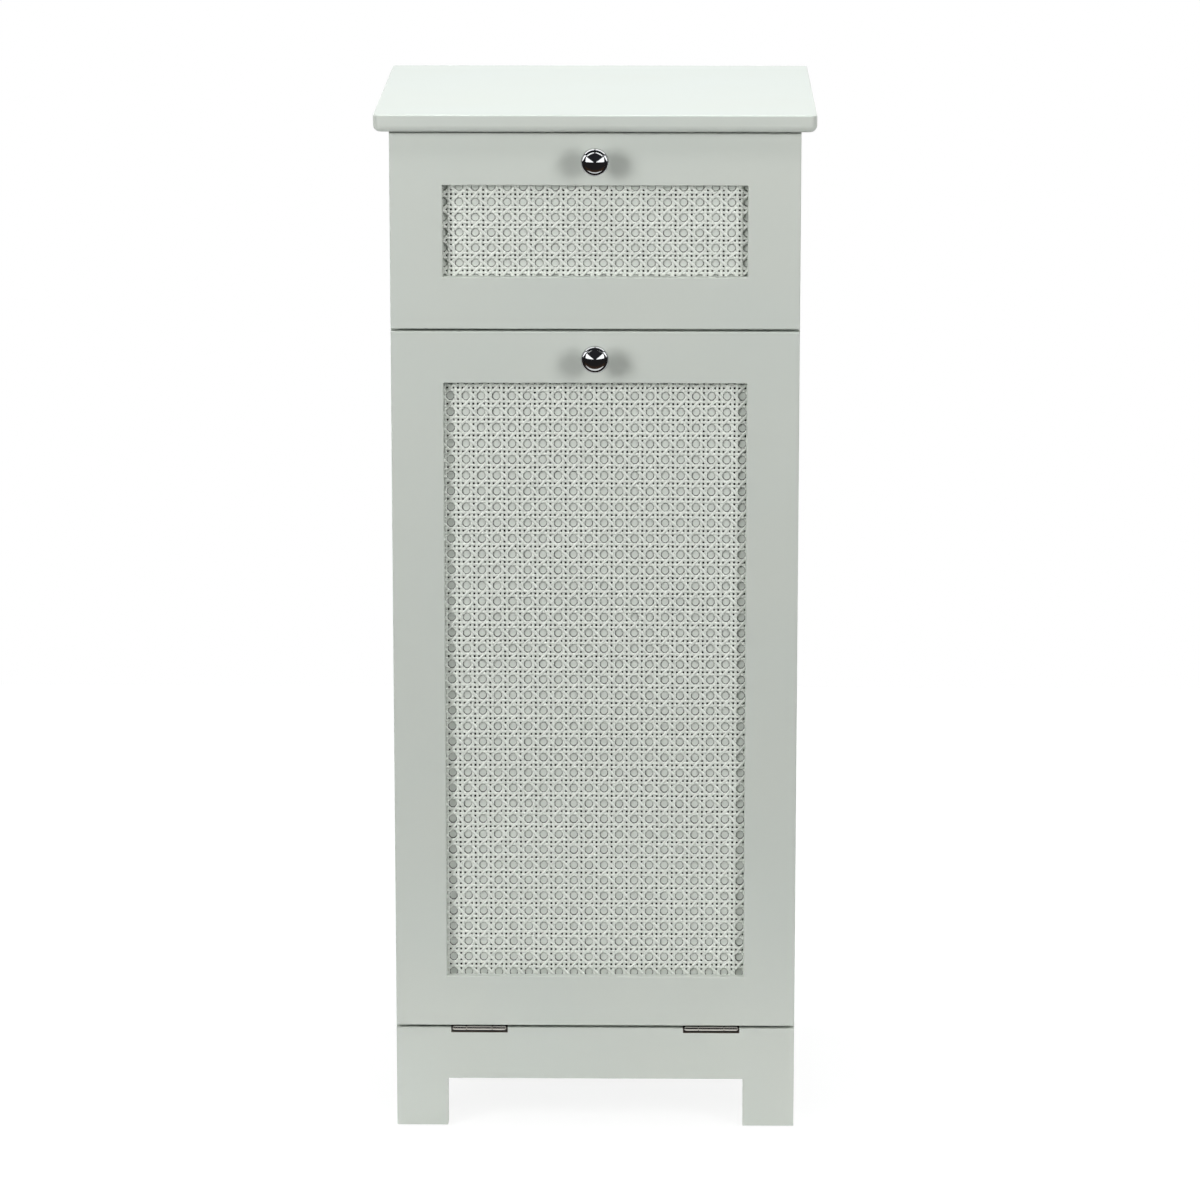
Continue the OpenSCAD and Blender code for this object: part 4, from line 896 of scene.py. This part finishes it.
# a wave texture repeats its bands this many times in one unit
BANDS_PER_UNIT = 20 / math.tau
canvas = empty_material("woven_cotton_canvas")
laid = add(canvas, "UVMap", uv_map="cloth").outputs["UV"]
threads = [
    add(canvas, "TexWave", {
        "Vector": laid, "Scale": per_mm(THREAD) / BANDS_PER_UNIT, "Distortion": 0.8},
        bands_direction=way).outputs["Fac"]
    for way in "XY"]
ply = add(canvas, "Math", {0: threads[0], 1: threads[1]}, operation="MAXIMUM").outputs["Value"]
slub = add(canvas, "TexNoise", {"Vector": laid, "Scale": per_mm(SLUB), "Detail": 5})
shade = add(canvas, "Math", {0: ply, 1: slub.outputs["Fac"]}, operation="MULTIPLY")
tone = add(canvas, "MixRGB", {
    "Fac": shade.outputs["Value"], "Color1": srgb(CANVAS_SHADE), "Color2": srgb(CANVAS)})
ribs = add(canvas, "Bump", {"Height": ply, "Strength": 0.6, "Distance": mm(0.3)})
surface(canvas, {
    "Base Color": tone.outputs["Color"], "Roughness": 0.9, "Normal": ribs.outputs["Normal"],
    "Sheen Weight": 0.15})

bag_low, bag_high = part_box("laundry_bag")
hoop_low = Vector((bag_low.x + SLEEVE_R, bag_low.y + SLEEVE_R, bag_high.z - SLEEVE_R))
hoop_high = Vector((bag_high.x - SLEEVE_R, bag_high.y - SLEEVE_R, bag_high.z - SLEEVE_R))
inset = WIRE_R + WIRE_GAP
wall_low = Vector((hoop_low.x + inset, hoop_low.y + inset, bag_low.z))
wall_high = Vector((hoop_high.x - inset, hoop_high.y - inset, hoop_high.z))
wall_middle = (wall_low + wall_high) / 2
wall_size = wall_high - wall_low


def lay_cloth(bm):
    """Gives cloth its own flat coordinates, so that the weave follows each side of the bag."""
    bm.normal_update()
    flat = bm.loops.layers.uv.new("cloth")
    for face in bm.faces:
        turned_up, sideways = abs(face.normal.z) > 0.7, abs(face.normal.x) > 0.7
        for loop in face.loops:
            x, y, z = loop.vert.co
            loop[flat].uv = (x, y) if turned_up else (y, z) if sideways else (x, z)


def cloth_piece(name, bm):
    """A piece of the bag, one cloth thick and softened at its folds."""
    lay_cloth(bm)
    piece = new_piece(name, bm, canvas, "door", "laundry_bag")
    thickness = piece.modifiers.new("cloth_thickness", "SOLIDIFY")
    thickness.thickness = CLOTH_T
    thickness.offset = -1
    softened = piece.modifiers.new("soft_folds", "SUBSURF")
    softened.levels = 1
    softened.render_levels = 1


bag = bmesh.new()
bmesh.ops.create_cube(
    bag, size=1, matrix=Matrix.Translation(wall_middle) @ Matrix.Diagonal((*wall_size, 1)))
corners = [edge for edge in bag.edges
           if abs(edge.verts[0].co.z - edge.verts[1].co.z) > wall_size.z / 2]
bmesh.ops.bevel(bag, geom=corners, offset=HOOP_BEND - inset, segments=6, affect="EDGES",
                profile=0.5, material=-1)
bag.normal_update()
bmesh.ops.delete(bag, geom=[face for face in bag.faces if face.normal.z > 0.5], context="FACES")
foot = [edge for edge in bag.edges if max(v.co.z for v in edge.verts) < wall_low.z + mm(1)]
bmesh.ops.bevel(bag, geom=foot, offset=FLOOR_BEND, segments=4, affect="EDGES",
                profile=0.5, material=-1)
for axis in range(3):
    square = Vector([1 if i == axis else 0 for i in range(3)])
    for i in range(1, int(wall_size[axis] / WALL_GRID)):
        bmesh.ops.bisect_plane(
            bag, geom=bag.verts[:] + bag.edges[:] + bag.faces[:],
            plane_co=wall_low + square * (i * WALL_GRID), plane_no=square)
bag.normal_update()
for vert in bag.verts:
    hung = max(0, wall_high.z - HEM_DEPTH - vert.co.z) / (wall_size.z - HEM_DEPTH)
    off_x = abs(vert.co.x - wall_middle.x) / (wall_size.x / 2)
    off_y = abs(vert.co.y - wall_middle.y) / (wall_size.y / 2)
    between_corners = 1 - min(off_x, off_y) ** CORNER_HOLD
    slack = min(1, hung / FULL_SLACK)
    hanging = Vector((vert.co.x, vert.co.y, vert.co.z * FOLD_DROP)) / FOLD_WIDTH
    creased = Vector((vert.co.x, vert.co.y, vert.co.z * CREASE_DROP)) / CREASE_WIDTH
    inward = DRAW_IN * math.sin(math.pi * hung) * between_corners
    inward += slack * FOLD_DEPTH * (FOLD_MEAN + FOLD_SWING * noise.noise(hanging))
    inward += slack * CREASE_DEPTH * (1 - abs(noise.noise(creased))) ** CREASE_CRISP
    vert.co -= vert.normal * max(0, inward)
cloth_piece("laundry_bag_wall", bag)

BARE_WIRE = mm(4)
TAB_L = mm(18)
BRACE_REACH = mm(130)
BARE_BEFORE_BRACE, BARE_AFTER_BRACE = mm(15), mm(10)
SLEEVE_STEP = mm(5)
PUCKER = mm(0.35)
PUCKER_LENGTH = mm(7)


def pull_sleeve(bm, start, moves):
    """Pulls a sleeve's round section along runs and bends, each a (step, centre, angle)."""
    first = moves[0][0]
    faced = Matrix.Translation(start) @ first.to_track_quat("Z", "X").to_matrix().to_4x4()
    ring = bmesh.ops.create_circle(bm, segments=16, radius=SLEEVE_R, matrix=faced)["verts"]
    edges = list({edge for vert in ring for edge in vert.link_edges})
    for run, centre, angle in moves:
        steps = max(1, round((run.length + abs(angle) * HOOP_BEND) / SLEEVE_STEP))
        grown = bmesh.ops.spin(
            bm, geom=edges, cent=centre, axis=(0, 0, 1), dvec=run / steps, angle=angle,
            steps=steps)["geom_last"]
        edges = [part for part in grown if isinstance(part, bmesh.types.BMEdge)]


sleeves = bmesh.new()
no_turn = (Vector(), 0)
front_from = hoop_low.x + HOOP_BEND + TAB_L + BARE_WIRE
pull_sleeve(sleeves, Vector((front_from, hoop_low.y, hoop_low.z)),
            [(Vector((-2 * front_from, 0, 0)), *no_turn)])
brace_y = hoop_low.y + BRACE_REACH
side_from = hoop_low.y + HOOP_BEND + BARE_WIRE
for side in (hoop_low.x, hoop_high.x):
    pull_sleeve(sleeves, Vector((side, side_from, hoop_low.z)),
                [(Vector((0, brace_y - BARE_BEFORE_BRACE - side_from, 0)), *no_turn)])
back_from, bend_y = brace_y + BARE_AFTER_BRACE, hoop_high.y - HOOP_BEND
side_run = Vector((0, bend_y - back_from, 0))
left_bend = Vector((hoop_low.x + HOOP_BEND, bend_y, 0))
right_bend = Vector((hoop_high.x - HOOP_BEND, bend_y, 0))
pull_sleeve(sleeves, Vector((hoop_low.x, back_from, hoop_low.z)), [
    (side_run, *no_turn), (Vector(), left_bend, -math.pi / 2),
    (right_bend - left_bend, *no_turn), (Vector(), right_bend, -math.pi / 2),
    (-side_run, *no_turn)])
sleeves.normal_update()
for vert in sleeves.verts:
    vert.co += vert.normal * (PUCKER * noise.noise(vert.co / PUCKER_LENGTH))
cloth_piece("laundry_bag_sleeves", sleeves)
